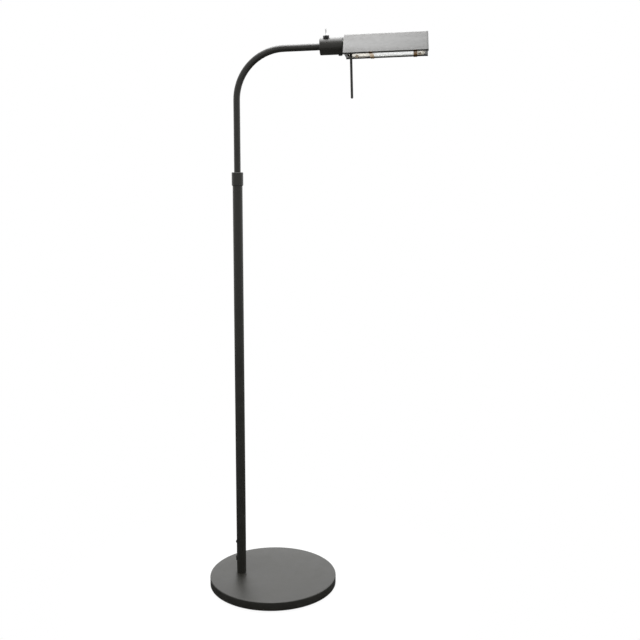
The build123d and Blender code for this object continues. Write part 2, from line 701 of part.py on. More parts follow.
# Handle block screwed on the stem's end, and the rod screwed up into it
with BuildPart() as handle_block:
    with BuildSketch(level(ROD_S, -BLOCK_DROP)):
        Rectangle(BLOCK_L, BLOCK_W)
    extrude(amount=BLOCK_DROP + BLOCK_TOP)
    chamfer(handle_block.edges().filter_by(HEAD_UP), EDGE_BREAK)
    with BuildSketch(across(BLOCK_S)):
        Circle(STEM_D / 2 + THREAD_CLEAR)
    extrude(amount=BLOCK_L, mode=Mode.SUBTRACT)
    with BuildSketch(level(ROD_S, -BLOCK_DROP)):
        Circle(ROD_SPIGOT_D / 2 + THREAD_CLEAR)
    extrude(amount=ROD_SPIGOT_L + FREE_CLEAR, mode=Mode.SUBTRACT)
save(handle_block, "handle_block")

ROD_L = ROD_DROP - BLOCK_DROP
with BuildPart(under(ROD_S, -BLOCK_DROP)) as handle_rod:
    Cylinder(ROD_D / 2, ROD_L - ROD_D / 2, align=(Align.CENTER, Align.CENTER, Align.MIN))
    Cylinder(ROD_SPIGOT_D / 2, ROD_SPIGOT_L, align=(Align.CENTER, Align.CENTER, Align.MAX))
    with Locations((0, 0, ROD_L - ROD_D / 2)):
        Sphere(ROD_D / 2)
save(handle_rod, "handle_rod")

# Shade shell: two panels, rounded ridge, lips and turned-in hems from one sheet
with BuildPart() as shade_shell:
    with BuildSketch(across(SHADE_S)):
        add(tent_face(0))
        add(tent_face(SHADE_T), mode=Mode.SUBTRACT)
        with Locations((0, LIP_BOTTOM)):
            Rectangle(SHADE_W - 2 * SHADE_T - 2 * HEM_W, 2 * LIP_H, mode=Mode.SUBTRACT)
    extrude(amount=SHADE_L)
save(shade_shell, "shade_shell")

# End pans pressed from sheet, set just inside the shell's ends
END_OUTSIDE = SHADE_T + SHEET_CLEAR
for name, face_s, inward in (
    ("shade_inner_end", INNER_END_S, 1),
    ("shade_outer_end", SHADE_END - END_INSET, -1),
):
    with BuildPart() as end_pan:
        with BuildSketch(across(face_s)):
            add(tent_face(END_OUTSIDE))
        extrude(amount=inward * END_DEPTH)
        with BuildSketch(across(face_s + inward * END_T)):
            add(tent_face(END_OUTSIDE + END_T))
        extrude(amount=inward * END_DEPTH, mode=Mode.SUBTRACT)
        if inward == 1:
            with BuildSketch(across(face_s)):
                Circle(STEM_D / 2 + SHEET_CLEAR)
            extrude(amount=END_T, mode=Mode.SUBTRACT)
    save(end_pan, name)

# Places of the four reflector studs and of the holder screws
STUD_PLACES = [
    (s, side)
    for s in (REFLECTOR_S + STUD_INSET_INNER, REFLECTOR_END - STUD_INSET_OUTER)
    for side in (-1, 1)
]
HOLDER_SCREW_PLACES = [
    holder_s + HOLDER_L / 2 + step * HOLDER_SCREW_PITCH / 2
    for holder_s in (HOLDER_INNER_S, HOLDER_OUTER_S)
    for step in (-1, 1)
]
REFLECTOR_DEPTH = SHADE_T + STUD_L
LEAD_DIP_S = HOLDER_INNER_S - BRACKET_END - 2 * LEAD_D
LEAD_SIDE = SCREW_HEAD_D / 2 + LEAD_D

# Studs welded under the panels
with BuildPart() as reflector_studs:
    for s, side in STUD_PLACES:
        with BuildSketch(panel_plane(s, side, SHADE_T)):
            Circle(STUD_OD / 2)
        extrude(amount=STUD_L)
        with BuildSketch(panel_plane(s, side, REFLECTOR_DEPTH)):
            Circle(SCREW_D / 2 + THREAD_CLEAR)
        extrude(amount=-STUD_THREAD - FREE_CLEAR, mode=Mode.SUBTRACT)
save(reflector_studs, "reflector_studs")

# Reflector: white folded sheet, parallel to the panels and flat on top
INSIDE_DEPTH = REFLECTOR_DEPTH + REFLECTOR_T
with BuildPart() as reflector:
    with BuildSketch(across(REFLECTOR_S)):
        for depth, top, mode in (
            (REFLECTOR_DEPTH, REFLECTOR_TOP, Mode.ADD),
            (INSIDE_DEPTH, REFLECTOR_TOP - REFLECTOR_T, Mode.SUBTRACT),
        ):
            with BuildLine():
                Polyline(
                    (-panel_y(REFLECTOR_FOOT, depth), REFLECTOR_FOOT),
                    (-panel_y(top, depth), top),
                    (panel_y(top, depth), top),
                    (panel_y(REFLECTOR_FOOT, depth), REFLECTOR_FOOT),
                    close=True,
                )
            make_face(mode=mode)
    extrude(amount=REFLECTOR_END - REFLECTOR_S)
    for s, side in STUD_PLACES:
        with BuildSketch(panel_plane(s, side, REFLECTOR_DEPTH)):
            Circle(SCREW_D / 2 + BOLT_CLEAR)
        extrude(amount=REFLECTOR_T, mode=Mode.SUBTRACT)
    for s in HOLDER_SCREW_PLACES:
        with BuildSketch(under(s, REFLECTOR_TOP)):
            Circle(SCREW_D / 2 + BOLT_CLEAR)
        extrude(amount=REFLECTOR_T, mode=Mode.SUBTRACT)
    with BuildSketch(level(LEAD_DIP_S, REFLECTOR_TOP, LEAD_SIDE)):
        Circle(LEAD_D / 2 + BOLT_CLEAR)
    extrude(amount=-REFLECTOR_T, mode=Mode.SUBTRACT)
save(reflector, "reflector")

# Screws from inside the reflector up into the studs
with BuildPart() as reflector_screws:
    for s, side in STUD_PLACES:
        with BuildSketch(panel_plane(s, side, INSIDE_DEPTH)):
            Circle(SCREW_HEAD_D / 2)
        extrude(amount=SCREW_HEAD_H)
        with BuildSketch(panel_plane(s, side, INSIDE_DEPTH)):
            Circle(SCREW_D / 2)
        extrude(amount=-REFLECTOR_T - STUD_THREAD)
save(reflector_screws, "reflector_screws")

# Lamp bracket under the reflector's flat top
BRACKET_S = HOLDER_INNER_S - BRACKET_END
BRACKET_L = HOLDER_OUTER_S + HOLDER_L - HOLDER_INNER_S + 2 * BRACKET_END
with BuildPart() as lamp_bracket:
    with BuildSketch(level(BRACKET_S + BRACKET_L / 2, BRACKET_Z)):
        Rectangle(BRACKET_L, BRACKET_W)
    extrude(amount=BRACKET_T)
    for s in HOLDER_SCREW_PLACES:
        with BuildSketch(level(s, BRACKET_Z)):
            Circle(SCREW_D / 2 + BOLT_CLEAR)
        extrude(amount=BRACKET_T, mode=Mode.SUBTRACT)
save(lamp_bracket, "lamp_bracket")

# Ceramic lamp holders, recessed for the lamp's ends and bored for the contacts
CONTACT_L = HOLDER_L / 2 + CONTACT_SINK
for name, holder_s, mouth_s, inward in (
    ("lamp_holder_inner", HOLDER_INNER_S, HOLDER_INNER_S + HOLDER_L, -1),
    ("lamp_holder_outer", HOLDER_OUTER_S, HOLDER_OUTER_S, 1),
):
    with BuildPart() as lamp_holder:
        with BuildSketch(under(holder_s + HOLDER_L / 2, BRACKET_Z)):
            Rectangle(HOLDER_L, HOLDER_W)
        extrude(amount=HOLDER_H)
        with BuildSketch(across(mouth_s)):
            with Locations((0, -BULB_DROP)):
                Circle(CONTACT_D / 2 + THREAD_CLEAR)
        extrude(amount=inward * CONTACT_L, mode=Mode.SUBTRACT)
        for step in (-1, 1):
            s = holder_s + HOLDER_L / 2 + step * HOLDER_SCREW_PITCH / 2
            with BuildSketch(under(s, BRACKET_Z)):
                Circle(SCREW_D / 2 + THREAD_CLEAR)
            extrude(amount=HOLDER_SCREW_L - REFLECTOR_T - BRACKET_T + FREE_CLEAR, mode=Mode.SUBTRACT)
        fillet(lamp_holder.edges().filter_by(HEAD_UP).group_by(SortBy.LENGTH)[-1], EDGE_BREAK)
    save(lamp_holder, name)

# Screws through reflector and bracket into the holders
with BuildPart() as holder_screws:
    for s in HOLDER_SCREW_PLACES:
        with BuildSketch(level(s, REFLECTOR_TOP)):
            Circle(SCREW_HEAD_D / 2)
        extrude(amount=SCREW_HEAD_H)
        with BuildSketch(under(s, REFLECTOR_TOP)):
            Circle(SCREW_D / 2)
        extrude(amount=HOLDER_SCREW_L)
save(holder_screws, "holder_screws")

# Contacts that meet the lamp's ends at the holders' mouths
with BuildPart() as lamp_contacts:
    for mouth_s, inward in ((HOLDER_INNER_S + HOLDER_L, -1), (HOLDER_OUTER_S, 1)):
        with BuildSketch(across(mouth_s)):
            with Locations((0, -BULB_DROP)):
                Circle(CONTACT_D / 2)
        extrude(amount=inward * CONTACT_L)
save(lamp_contacts, "lamp_contacts")

# Halogen lamp: quartz tube between two ceramic ends, with its filament
BULB_START = BULB_S - BULB_L / 2
TUBE_START = BULB_START + BULB_END_L
QUARTZ_L = BULB_L - 2 * BULB_END_L
with BuildPart() as bulb_ends:
    for end_s in (BULB_START, TUBE_START + QUARTZ_L):
        with BuildSketch(across(end_s)):
            with Locations((0, -BULB_DROP)):
                Circle(BULB_END_D / 2)
        extrude(amount=BULB_END_L)
save(bulb_ends, "bulb_ends")

with BuildPart() as bulb_tube:
    with BuildSketch(across(TUBE_START)):
        with Locations((0, -BULB_DROP)):
            Circle(BULB_D / 2)
            Circle(FILAMENT_D / 2 + THREAD_CLEAR, mode=Mode.SUBTRACT)
    extrude(amount=QUARTZ_L)
    with BuildSketch(across(TUBE_START + BULB_PINCH)):
        with Locations((0, -BULB_DROP)):
            Circle(BULB_D / 2 - BULB_WALL)
    extrude(amount=QUARTZ_L - 2 * BULB_PINCH, mode=Mode.SUBTRACT)
save(bulb_tube, "bulb_tube")

with BuildPart() as filament:
    with BuildSketch(across(TUBE_START)):
        with Locations((0, -BULB_DROP)):
            Circle(FILAMENT_D / 2)
    extrude(amount=QUARTZ_L)
save(filament, "filament")

# Leads from the holders to the stem, the outer one over the reflector and down through its top
LEAD_TOP = REFLECTOR_TOP + SCREW_HEAD_H / 2 + LEAD_D / 2
LEAD_IN = STEM_BORE / 2 - LEAD_D / 2 - FREE_CLEAR
LEAD_LOOP_S = HOLDER_OUTER_S + HOLDER_L + LEAD_ROOM - LEAD_D
LEAD_BEND_S = BLOCK_S + BLOCK_L + LEAD_D
LEAD_STOP_S = STEM_FRONT - STEM_GRIP
OUTER_ROUTE = [
    (HOLDER_OUTER_S + HOLDER_L, LEAD_SIDE, -BULB_DROP),
    (LEAD_LOOP_S, LEAD_SIDE, -BULB_DROP),
    (LEAD_LOOP_S, LEAD_SIDE, LEAD_TOP),
    (LEAD_DIP_S, LEAD_SIDE, LEAD_TOP),
    (LEAD_DIP_S, LEAD_SIDE, 0),
    (LEAD_BEND_S, LEAD_IN, 0),
    (LEAD_STOP_S, LEAD_IN, 0),
]
INNER_ROUTE = [
    (HOLDER_INNER_S, -LEAD_SIDE, -BULB_DROP),
    (LEAD_DIP_S, -LEAD_SIDE, -BULB_DROP),
    (LEAD_BEND_S, -LEAD_IN, 0),
    (LEAD_STOP_S, -LEAD_IN, 0),
]
with BuildPart() as lamp_leads:
    for route in (OUTER_ROUTE, INNER_ROUTE):
        with BuildLine() as lead_line:
            FilletPolyline([HEAD.from_local_coords(point) for point in route], radius=LEAD_BEND_R)
        with BuildSketch(Plane(origin=lead_line.line @ 0, z_dir=lead_line.line % 0)):
            Circle(LEAD_D / 2)
        sweep(path=lead_line.line)
save(lamp_leads, "lamp_leads")

# Glass shield, and the straps across the opening that carry it
with BuildPart() as glass_shield:
    with BuildSketch(level(BULB_S, STRAP_TOP)):
        Rectangle(GLASS_L, GLASS_W)
    extrude(amount=GLASS_T)
save(glass_shield, "glass_shield")

STRAP_INSIDE = SHADE_W / 2 + SHEET_CLEAR
STRAP_OUTSIDE = STRAP_INSIDE + STRAP_T
STEP_OUTSIDE = SHADE_W / 2 - SHADE_T - HEM_W - SHEET_CLEAR
STEP_INSIDE = STEP_OUTSIDE - STRAP_T
STRAP_TIP = LIP_BOTTOM + STRAP_TURN_UP
STRAP_FROM_MIDDLE = GLASS_L / 2 + STRAP_LEDGE - STRAP_W
for name, strap_s in (
    ("glass_strap_inner", BULB_S - STRAP_FROM_MIDDLE - STRAP_W),
    ("glass_strap_outer", BULB_S + STRAP_FROM_MIDDLE),
):
    with BuildPart() as glass_strap:
        with BuildSketch(across(strap_s)):
            with BuildLine():
                Polyline(
                    (-STRAP_OUTSIDE, STRAP_TIP),
                    (-STRAP_OUTSIDE, STRAP_FOOT),
                    (-STEP_INSIDE, STRAP_FOOT),
                    (-STEP_INSIDE, STRAP_TOP - STRAP_T),
                    (STEP_INSIDE, STRAP_TOP - STRAP_T),
                    (STEP_INSIDE, STRAP_FOOT),
                    (STRAP_OUTSIDE, STRAP_FOOT),
                    (STRAP_OUTSIDE, STRAP_TIP),
                    (STRAP_INSIDE, STRAP_TIP),
                    (STRAP_INSIDE, LIP_BOTTOM),
                    (STEP_OUTSIDE, LIP_BOTTOM),
                    (STEP_OUTSIDE, STRAP_TOP),
                    (-STEP_OUTSIDE, STRAP_TOP),
                    (-STEP_OUTSIDE, LIP_BOTTOM),
                    (-STRAP_INSIDE, LIP_BOTTOM),
                    (-STRAP_INSIDE, STRAP_TIP),
                    close=True,
                )
            make_face()
        extrude(amount=STRAP_W)
    save(glass_strap, name)
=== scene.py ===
import json
from math import radians

import bpy
import numpy as np
from mathutils import Matrix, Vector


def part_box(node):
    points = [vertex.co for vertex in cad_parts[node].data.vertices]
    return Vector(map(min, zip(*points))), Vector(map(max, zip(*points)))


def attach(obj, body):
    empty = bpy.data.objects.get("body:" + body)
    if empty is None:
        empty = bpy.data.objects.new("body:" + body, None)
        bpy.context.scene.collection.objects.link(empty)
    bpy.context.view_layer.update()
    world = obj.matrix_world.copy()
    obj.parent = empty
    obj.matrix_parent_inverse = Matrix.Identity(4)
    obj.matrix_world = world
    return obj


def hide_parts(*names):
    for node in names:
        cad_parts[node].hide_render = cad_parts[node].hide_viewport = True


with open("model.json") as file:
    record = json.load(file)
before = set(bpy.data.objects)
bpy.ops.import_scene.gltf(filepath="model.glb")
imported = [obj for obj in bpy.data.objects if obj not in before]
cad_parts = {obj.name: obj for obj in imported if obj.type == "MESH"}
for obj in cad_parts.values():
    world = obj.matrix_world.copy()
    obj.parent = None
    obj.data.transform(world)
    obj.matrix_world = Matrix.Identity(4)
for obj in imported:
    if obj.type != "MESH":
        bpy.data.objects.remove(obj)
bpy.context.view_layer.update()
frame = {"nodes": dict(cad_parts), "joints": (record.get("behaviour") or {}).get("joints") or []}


# Felt pad: a disc of dark pressed felt, 2 mm thick, that keeps the floor from being scratched.
# It is die cut, so its edge is square but soft, and it is glued under the cast weight.

MM = 0.001
PAD_EDGE = 0.5 * MM
SAME_POINT = 1e-9
CREASE = radians(38)
BROAD_SCALE = 0.04
FELT_DARK = 0.010
FELT_LIGHT = 0.045


def rounded(corners, radii, steps=6, closed=False):
    """Straight runs between corner points, with every corner swung round on an arc of its own radius.

    An arc leaves its run radius / tan(half the corner's angle) before the corner. Its points are the
    spherical mean of the arc's two ends, seen from its centre. An open line keeps its two end points.
    """
    corners = np.asarray(corners, float)
    before = np.roll(corners, 1, 0) - corners
    after = np.roll(corners, -1, 0) - corners
    inner = slice(None) if closed else slice(1, -1)
    corner, before, after = corners[inner], before[inner], after[inner]
    before = before / np.linalg.norm(before, axis=1, keepdims=True)
    after = after / np.linalg.norm(after, axis=1, keepdims=True)
    half = np.arccos(np.clip((before * after).sum(1), -1, 1))[:, None] / 2
    radius = np.broadcast_to(radii, len(half))[:, None]
    middle = (before + after) / np.linalg.norm(before + after, axis=1, keepdims=True)
    centre = corner + middle * radius / np.sin(half)
    start = corner + before * radius / np.tan(half) - centre
    stop = corner + after * radius / np.tan(half) - centre
    turn = (np.pi - 2 * half)[:, None]
    share = np.linspace(0, 1, steps + 1)[None, :, None]
    arcs = np.sin((1 - share) * turn) * start[:, None] + np.sin(share * turn) * stop[:, None]
    line = (centre[:, None] + arcs / np.sin(turn)).reshape(-1, corners.shape[1])
    return line if closed else np.concatenate([corners[:1], line, corners[-1:]])


def turned(profile, foot, axis, columns=72):
    """Profile of (radius, height) pairs swung once round an axis: foot + height * axis + radius * spoke."""
    axis = np.asarray(axis, float) / np.linalg.norm(axis)
    side = np.cross(axis, (0, 1, 0))
    side = side / np.linalg.norm(side)
    angle = np.linspace(0, 2 * np.pi, columns, endpoint=False)[:, None]
    spokes = np.cos(angle) * side + np.sin(angle) * np.cross(axis, side)
    profile = np.asarray(profile, float)[:, None]
    return np.asarray(foot, float) + profile[..., 1:] * axis + profile[..., :1] * spokes


def solid(name, *grids, hollow=()):
    """Piece whose skins are grids of points joined by quads.

    Columns close on themselves. A row that shrinks to one point closes its end with triangles, and a grid
    with no such row closes its last row on its first. Each skin faces outwards by the sign of its volume.
    The skins listed as hollow bound a space inside the piece, and face the other way.
    """
    points, faces, count = [], [], 0
    for grid in (*grids, *hollow):
        rows, columns = grid.shape[:2]
        index = np.arange(rows * columns).reshape(rows, columns)
        shut = np.ptp(grid, axis=1).max(1) < SAME_POINT
        index[shut] = index[shut][:, :1]
        low = index[:-1] if shut.any() else index
        high = index[1:] if shut.any() else np.roll(index, -1, 0)
        quads = np.stack([low, np.roll(low, -1, 1), np.roll(high, -1, 1), high], -1).reshape(-1, 4)
        flat = grid.reshape(-1, 3)
        a, b, c, d = np.moveaxis((flat - flat.mean(0))[quads], 1, 0)
        volume = (a * (np.cross(b, c) + np.cross(c, d))).sum()
        inside = any(grid is space for space in hollow)
        quads = quads[:, ::-1] if (volume < 0) != inside else quads
        repeated = quads == np.roll(quads, -1, 1)
        whole = ~repeated.any(1)
        fans = quads[~whole][~repeated[~whole]].reshape(-1, 3)
        used, place = np.unique(np.concatenate([quads[whole].ravel(), fans.ravel()]), return_inverse=True)
        place = place + count
        split = 4 * whole.sum()
        faces += place[:split].reshape(-1, 4).tolist() + place[split:].reshape(-1, 3).tolist()
        points.append(flat[used])
        count += len(used)
    mesh = bpy.data.meshes.new(name)
    mesh.from_pydata(np.concatenate(points), [], faces)
    mesh.polygons.foreach_set("use_smooth", np.ones(len(faces), bool))
    mesh.set_sharp_from_angle(angle=CREASE)
    piece = bpy.data.objects.new(name, mesh)
    bpy.context.scene.collection.objects.link(piece)
    return piece


def effect(name, inputs, outputs):
    """Empty shader node group with named sockets, and its input and output nodes."""
    tree = bpy.data.node_groups.new(name, "ShaderNodeTree")
    for socket, kind in inputs.items():
        tree.interface.new_socket(socket, in_out="INPUT", socket_type="NodeSocket" + kind)
    for socket, kind in outputs.items():
        tree.interface.new_socket(socket, in_out="OUTPUT", socket_type="NodeSocket" + kind)
    return tree, tree.nodes.new("NodeGroupInput").outputs, tree.nodes.new("NodeGroupOutput").inputs


def node(tree, kind, settings=None, **sockets):
    """Outputs of a new node: settings go on the node, and a socket takes a value or another's output."""
    made = tree.nodes.new("ShaderNode" + kind)
    for name, value in (settings or {}).items():
        setattr(made, name, value)
    for name, value in sockets.items():
        key = int(name[1:]) if name[0] == "_" else name.replace("_", " ")
        if isinstance(value, bpy.types.NodeSocket):
            tree.links.new(value, made.inputs[key])
        else:
            made.inputs[key].default_value = value
    return made.outputs


def times(tree, first, second):
    """Product of two values in a tree."""
    return node(tree, "Math", {"operation": "MULTIPLY"}, _0=first, _1=second)[0]


def give(tree, sockets, **sources):
    """Link each named socket to the output that feeds it."""
    for name, source in sources.items():
        tree.links.new(source, sockets[name.replace("_", " ")])


def mottled_skin():
    """Group for any skin: noise of two sizes gives tone, roughness and bump, over edges rounded by Round.

    Edge is how far the rounded normal leans from the plain one, which picks out the edges of a piece.
    """
    tree, given, made = effect(
        "mottled_skin",
        {"Scale": "Float", "Stretch": "Vector", "Dark": "Color", "Light": "Color",
         "Smooth": "Float", "Rough": "Float", "Depth": "Float", "Round": "Float"},
        {"Color": "Color", "Roughness": "Float", "Normal": "Vector", "Edge": "Float"},
    )
    place = node(tree, "TexCoord")["Object"]
    drawn = node(tree, "VectorMath", {"operation": "MULTIPLY"}, _0=place, _1=given["Stretch"])[0]
    fine = node(tree, "TexNoise", Vector=drawn, Scale=given["Scale"], Detail=3.0)["Fac"]
    wide = times(tree, given["Scale"], BROAD_SCALE)
    broad = node(tree, "TexNoise", Vector=drawn, Scale=wide, Detail=4.0)["Fac"]
    both = node(tree, "Math", {"operation": "ADD"}, _0=fine, _1=broad)[0]
    spread = node(tree, "MapRange", Value=both, From_Min=0.7, From_Max=1.3)[0]
    tone = node(tree, "MixRGB", Fac=spread, Color1=given["Dark"], Color2=given["Light"])[0]
    gloss = node(tree, "MapRange", Value=spread, To_Min=given["Smooth"], To_Max=given["Rough"])[0]
    soft = node(tree, "Bevel", Radius=given["Round"])[0]
    bump = node(tree, "Bump", Height=fine, Distance=given["Depth"], Normal=soft)[0]
    plain = node(tree, "NewGeometry")["Normal"]
    lean = node(tree, "VectorMath", {"operation": "DOT_PRODUCT"}, _0=soft, _1=plain)["Value"]
    edge = node(tree, "MapRange", Value=lean, From_Min=0.99, From_Max=0.75)[0]
    give(tree, made, Color=tone, Roughness=gloss, Normal=bump, Edge=edge)
    return tree


def placed(tree, group, **sockets):
    """A node group placed in a tree, with a value or a link for each of its named inputs."""
    return node(tree, "Group", {"node_tree": group}, **sockets)


def finish(name, **plain):
    """Material with one Principled shader, whose named sockets take the plain values given."""
    material = bpy.data.materials.new(name)
    material.use_nodes = True
    shader = material.node_tree.nodes["Principled BSDF"]
    for socket, value in plain.items():
        shader.inputs[socket.replace("_", " ")].default_value = value
    return material, material.node_tree, shader.inputs


def skinned(name, skin, **plain):
    """Finish whose roughness and normal come from the mottled skin, and its colour unless that is plain."""
    material, tree, shader = finish(name, **plain)
    made = placed(tree, SKIN, **{"Stretch": (1, 1, 1), "Round": 0.2 * MM, **skin})
    if "Base_Color" not in plain:
        give(tree, shader, Base_Color=made["Color"])
    give(tree, shader, Roughness=made["Roughness"], Normal=made["Normal"])
    return material


def grey(level):
    """Neutral colour of one linear level."""
    return (level, level, level, 1.0)


def fit(piece, material, body, replaced):
    """Finish a new piece, let it ride on its body, and put it in the place of the solid it stands for."""
    piece.data.materials.append(material)
    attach(piece, body)
    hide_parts(replaced)


SKIN = mottled_skin()
pad_low, pad_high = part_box("base_pad")
pad_r = pad_high.x
pad_profile = rounded(
    [(0, pad_low.z), (pad_r, pad_low.z), (pad_r, pad_high.z), (0, pad_high.z)], PAD_EDGE
)
felt_pad = solid("felt_pad", turned(pad_profile, (0, 0, 0), (0, 0, 1), columns=160))
felt = skinned(
    "pressed_felt",
    {"Scale": 1400.0, "Dark": grey(FELT_DARK), "Light": grey(FELT_LIGHT),
     "Smooth": 0.85, "Rough": 1.0, "Depth": 0.4 * MM},
    Sheen_Weight=0.4,
    Sheen_Roughness=0.6,
)
fit(felt_pad, felt, "base", "base_pad")


# Cast weight: grey iron poured in a sand mould, which keeps the lamp steady.
# The cover and the felt close it in, and it has the grainy skin that the sand left.

CAST_DARK = 0.05
CAST_LIGHT = 0.14


def dress(material, *names):
    """Give carried-over solids a finish."""
    for name in names:
        mesh = frame["nodes"][name].data
        mesh.materials.clear()
        mesh.materials.append(material)


cast_iron = skinned(
    "sand_cast_iron",
    {"Scale": 500.0, "Dark": grey(CAST_DARK), "Light": grey(CAST_LIGHT),
     "Smooth": 0.6, "Rough": 0.85, "Depth": 0.6 * MM},
    Metallic=0.6,
)
dress(cast_iron, "base_weight")


# Base cover: steel sheet spun over the weight with a rounded edge, sprayed and stoved in satin black.
# The foot stud passes through a hole in it, off its middle, and clamps it between the pole and the weight.

COVER_T = 1.2 * MM
COVER_EDGE = 2.0 * MM
COVER_HOLE_R = 5.25 * MM
COVER_BREAK = 0.4 * MM
BLACK_DARK = (0.0068, 0.0066, 0.0044, 1)
BLACK_LIGHT = (0.0124, 0.0121, 0.0084, 1)
BARE_STEEL = (0.16, 0.155, 0.15, 1)
DUST = (0.42, 0.41, 0.39, 1)


def laid_over(tree, given, made, share, colour, roughness):
    """Put out the finish that a group was given, with a second one mixed in by share."""
    tone = node(tree, "MixRGB", Fac=share, Color1=given["Color"], Color2=colour)[0]
    gloss = node(tree, "MapRange", Value=share, To_Min=given["Roughness"], To_Max=roughness)[0]
    give(tree, made, Color=tone, Roughness=gloss)


def worn_edges():
    """Group that rubs a finish thin: the edge mask, broken up by noise, brings up the bare metal below."""
    tree, given, made = effect(
        "worn_edges",
        {"Color": "Color", "Roughness": "Float", "Edge": "Float", "Bare": "Color",
         "Bare Roughness": "Float", "Amount": "Float"},
        {"Color": "Color", "Roughness": "Float"},
    )
    place = node(tree, "TexCoord")["Object"]
    patch = node(tree, "TexNoise", Vector=place, Scale=160.0, Detail=4.0)["Fac"]
    torn = node(tree, "MapRange", Value=patch, From_Min=0.35, From_Max=0.7)[0]
    rubbed = times(tree, times(tree, given["Edge"], torn), given["Amount"])
    laid_over(tree, given, made, rubbed, given["Bare"], given["Bare Roughness"])
    return tree


def settled_dust():
    """Group that lays a thin dust on faces that look up: the normal's height times speckled noise."""
    tree, given, made = effect(
        "settled_dust",
        {"Color": "Color", "Roughness": "Float", "Dust": "Color", "Amount": "Float"},
        {"Color": "Color", "Roughness": "Float"},
    )
    place = node(tree, "TexCoord")
    upward = node(tree, "SeparateXYZ", _0=place["Normal"])["Z"]
    facing = node(tree, "MapRange", Value=upward, From_Min=0.5, From_Max=1.0)[0]
    cloud = node(tree, "TexNoise", Vector=place["Object"], Scale=28.0, Detail=8.0, Roughness=0.7)["Fac"]
    thick = node(tree, "MapRange", Value=cloud, From_Min=0.3, From_Max=0.75)[0]
    layer = times(tree, times(tree, facing, thick), given["Amount"])
    laid_over(tree, given, made, layer, given["Dust"], 1.0)
    return tree


WEAR = worn_edges()
DUSTING = settled_dust()


def enamelled(name, skin, wear, dust, **plain):
    """Paint over steel: the mottled skin, worn along its edges and thinly dusted where it looks up."""
    material, tree, shader = finish(name, **plain)
    coat = placed(tree, SKIN, **{"Stretch": (1, 1, 1), "Round": 0.3 * MM, **skin})
    worn = placed(
        tree, WEAR, Color=coat["Color"], Roughness=coat["Roughness"], Edge=coat["Edge"],
        Bare=BARE_STEEL, Bare_Roughness=0.3, Amount=wear,
    )
    dusty = placed(tree, DUSTING, Color=worn["Color"], Roughness=worn["Roughness"], Dust=DUST, Amount=dust)
    give(tree, shader, Base_Color=dusty["Color"], Roughness=dusty["Roughness"], Normal=coat["Normal"])
    return material


cover_low, cover_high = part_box("base_cover")
pole_low, pole_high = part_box("pole_tube")
pole_x = (pole_low.x + pole_high.x) / 2
cover_r = cover_high.x
cover_profile = rounded(
    [(COVER_HOLE_R, cover_high.z), (cover_r, cover_high.z), (cover_r, cover_low.z),
     (cover_r - COVER_T, cover_low.z), (cover_r - COVER_T, cover_high.z - COVER_T),
     (COVER_HOLE_R, cover_high.z - COVER_T)],
    [COVER_BREAK / 2, COVER_EDGE, COVER_BREAK, COVER_BREAK, COVER_EDGE - COVER_T, COVER_BREAK / 2],
    closed=True,
)
cover_grid = turned(cover_profile, (0, 0, 0), (0, 0, 1), columns=240)
rim_start = cover_r - COVER_EDGE
cover_grid[..., 0] += pole_x * np.clip((rim_start - cover_profile[:, :1]) / (rim_start - COVER_HOLE_R), 0, 1)
spun_cover = solid("spun_cover", cover_grid)
satin_black = enamelled(
    "satin_black_enamel",
    {"Scale": 900.0, "Dark": BLACK_DARK, "Light": BLACK_LIGHT,
     "Smooth": 0.38, "Rough": 0.48, "Depth": 0.03 * MM},
    wear=0.35,
    dust=0.02,
    IOR=1.5,
)
fit(spun_cover, satin_black, "base", "base_cover")


# Foot: a threaded stud brazed into the pole, with washer, lock washer and nut in the weight's pocket.
# They are steel with bright zinc plating, cloudy from the barrel in which small parts are plated.

ZINC_DARK = (0.42, 0.43, 0.44, 1)
ZINC_LIGHT = (0.62, 0.63, 0.64, 1)
zinc = skinned(
    "zinc_plate",
    {"Scale": 1800.0, "Dark": ZINC_DARK, "Light": ZINC_LIGHT,
     "Smooth": 0.28, "Rough": 0.45, "Depth": 0.02 * MM},
    Metallic=1.0,
)
dress(zinc, "foot_stud", "foot_washer", "foot_lock_washer", "foot_nut")


# Pole: seamed steel tube, 3/4 inch, standing on the cover, in the same stoved black as the base.
# Its solid already has the holes for the cord inlet, the earth screw and the bush pin.

dress(satin_black, "pole_tube")


# Cord inlet: a moulded rubber grommet pressed into a hole low in the back of the pole.
# Its flange bends to the pole's round, and its mouth is rounded so that a flex isn't cut.

GROMMET_BORE_R = 2.8 * MM
GROMMET_SLEEVE_R = 4.0 * MM
GROMMET_FLANGE_R = 5.25 * MM
GROMMET_FLANGE_T = 1.8 * MM
GROMMET_RADII = np.array([0.3, 0.3, 0.1, 0.4, 0.7, 0.9]) * MM
RUBBER_DARK = 0.010
RUBBER_LIGHT = 0.020

inlet_low, inlet_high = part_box("cord_grommet")
inlet_z = (inlet_low.z + inlet_high.z) / 2
pole_r = pole_high.x - pole_x
inlet_tip = pole_x - inlet_low.x
inlet_seat = inlet_tip - GROMMET_FLANGE_T
inlet_end = pole_x - inlet_high.x
grommet_grid = turned(
    rounded(
        [(GROMMET_BORE_R, inlet_end), (GROMMET_SLEEVE_R, inlet_end), (GROMMET_SLEEVE_R, inlet_seat),
         (GROMMET_FLANGE_R, inlet_seat), (GROMMET_FLANGE_R, inlet_tip), (GROMMET_BORE_R, inlet_tip)],
        GROMMET_RADII, closed=True,
    ),
    (pole_x, 0, inlet_z), (-1, 0, 0),
)
grommet_grid[..., 0] += pole_r - np.sqrt(pole_r ** 2 - grommet_grid[..., 1] ** 2)
cord_inlet = solid("cord_inlet", grommet_grid)
rubber = skinned(
    "grommet_rubber",
    {"Scale": 2200.0, "Dark": grey(RUBBER_DARK), "Light": grey(RUBBER_LIGHT),
     "Smooth": 0.55, "Rough": 0.75, "Depth": 0.05 * MM},
    IOR=1.5,
)
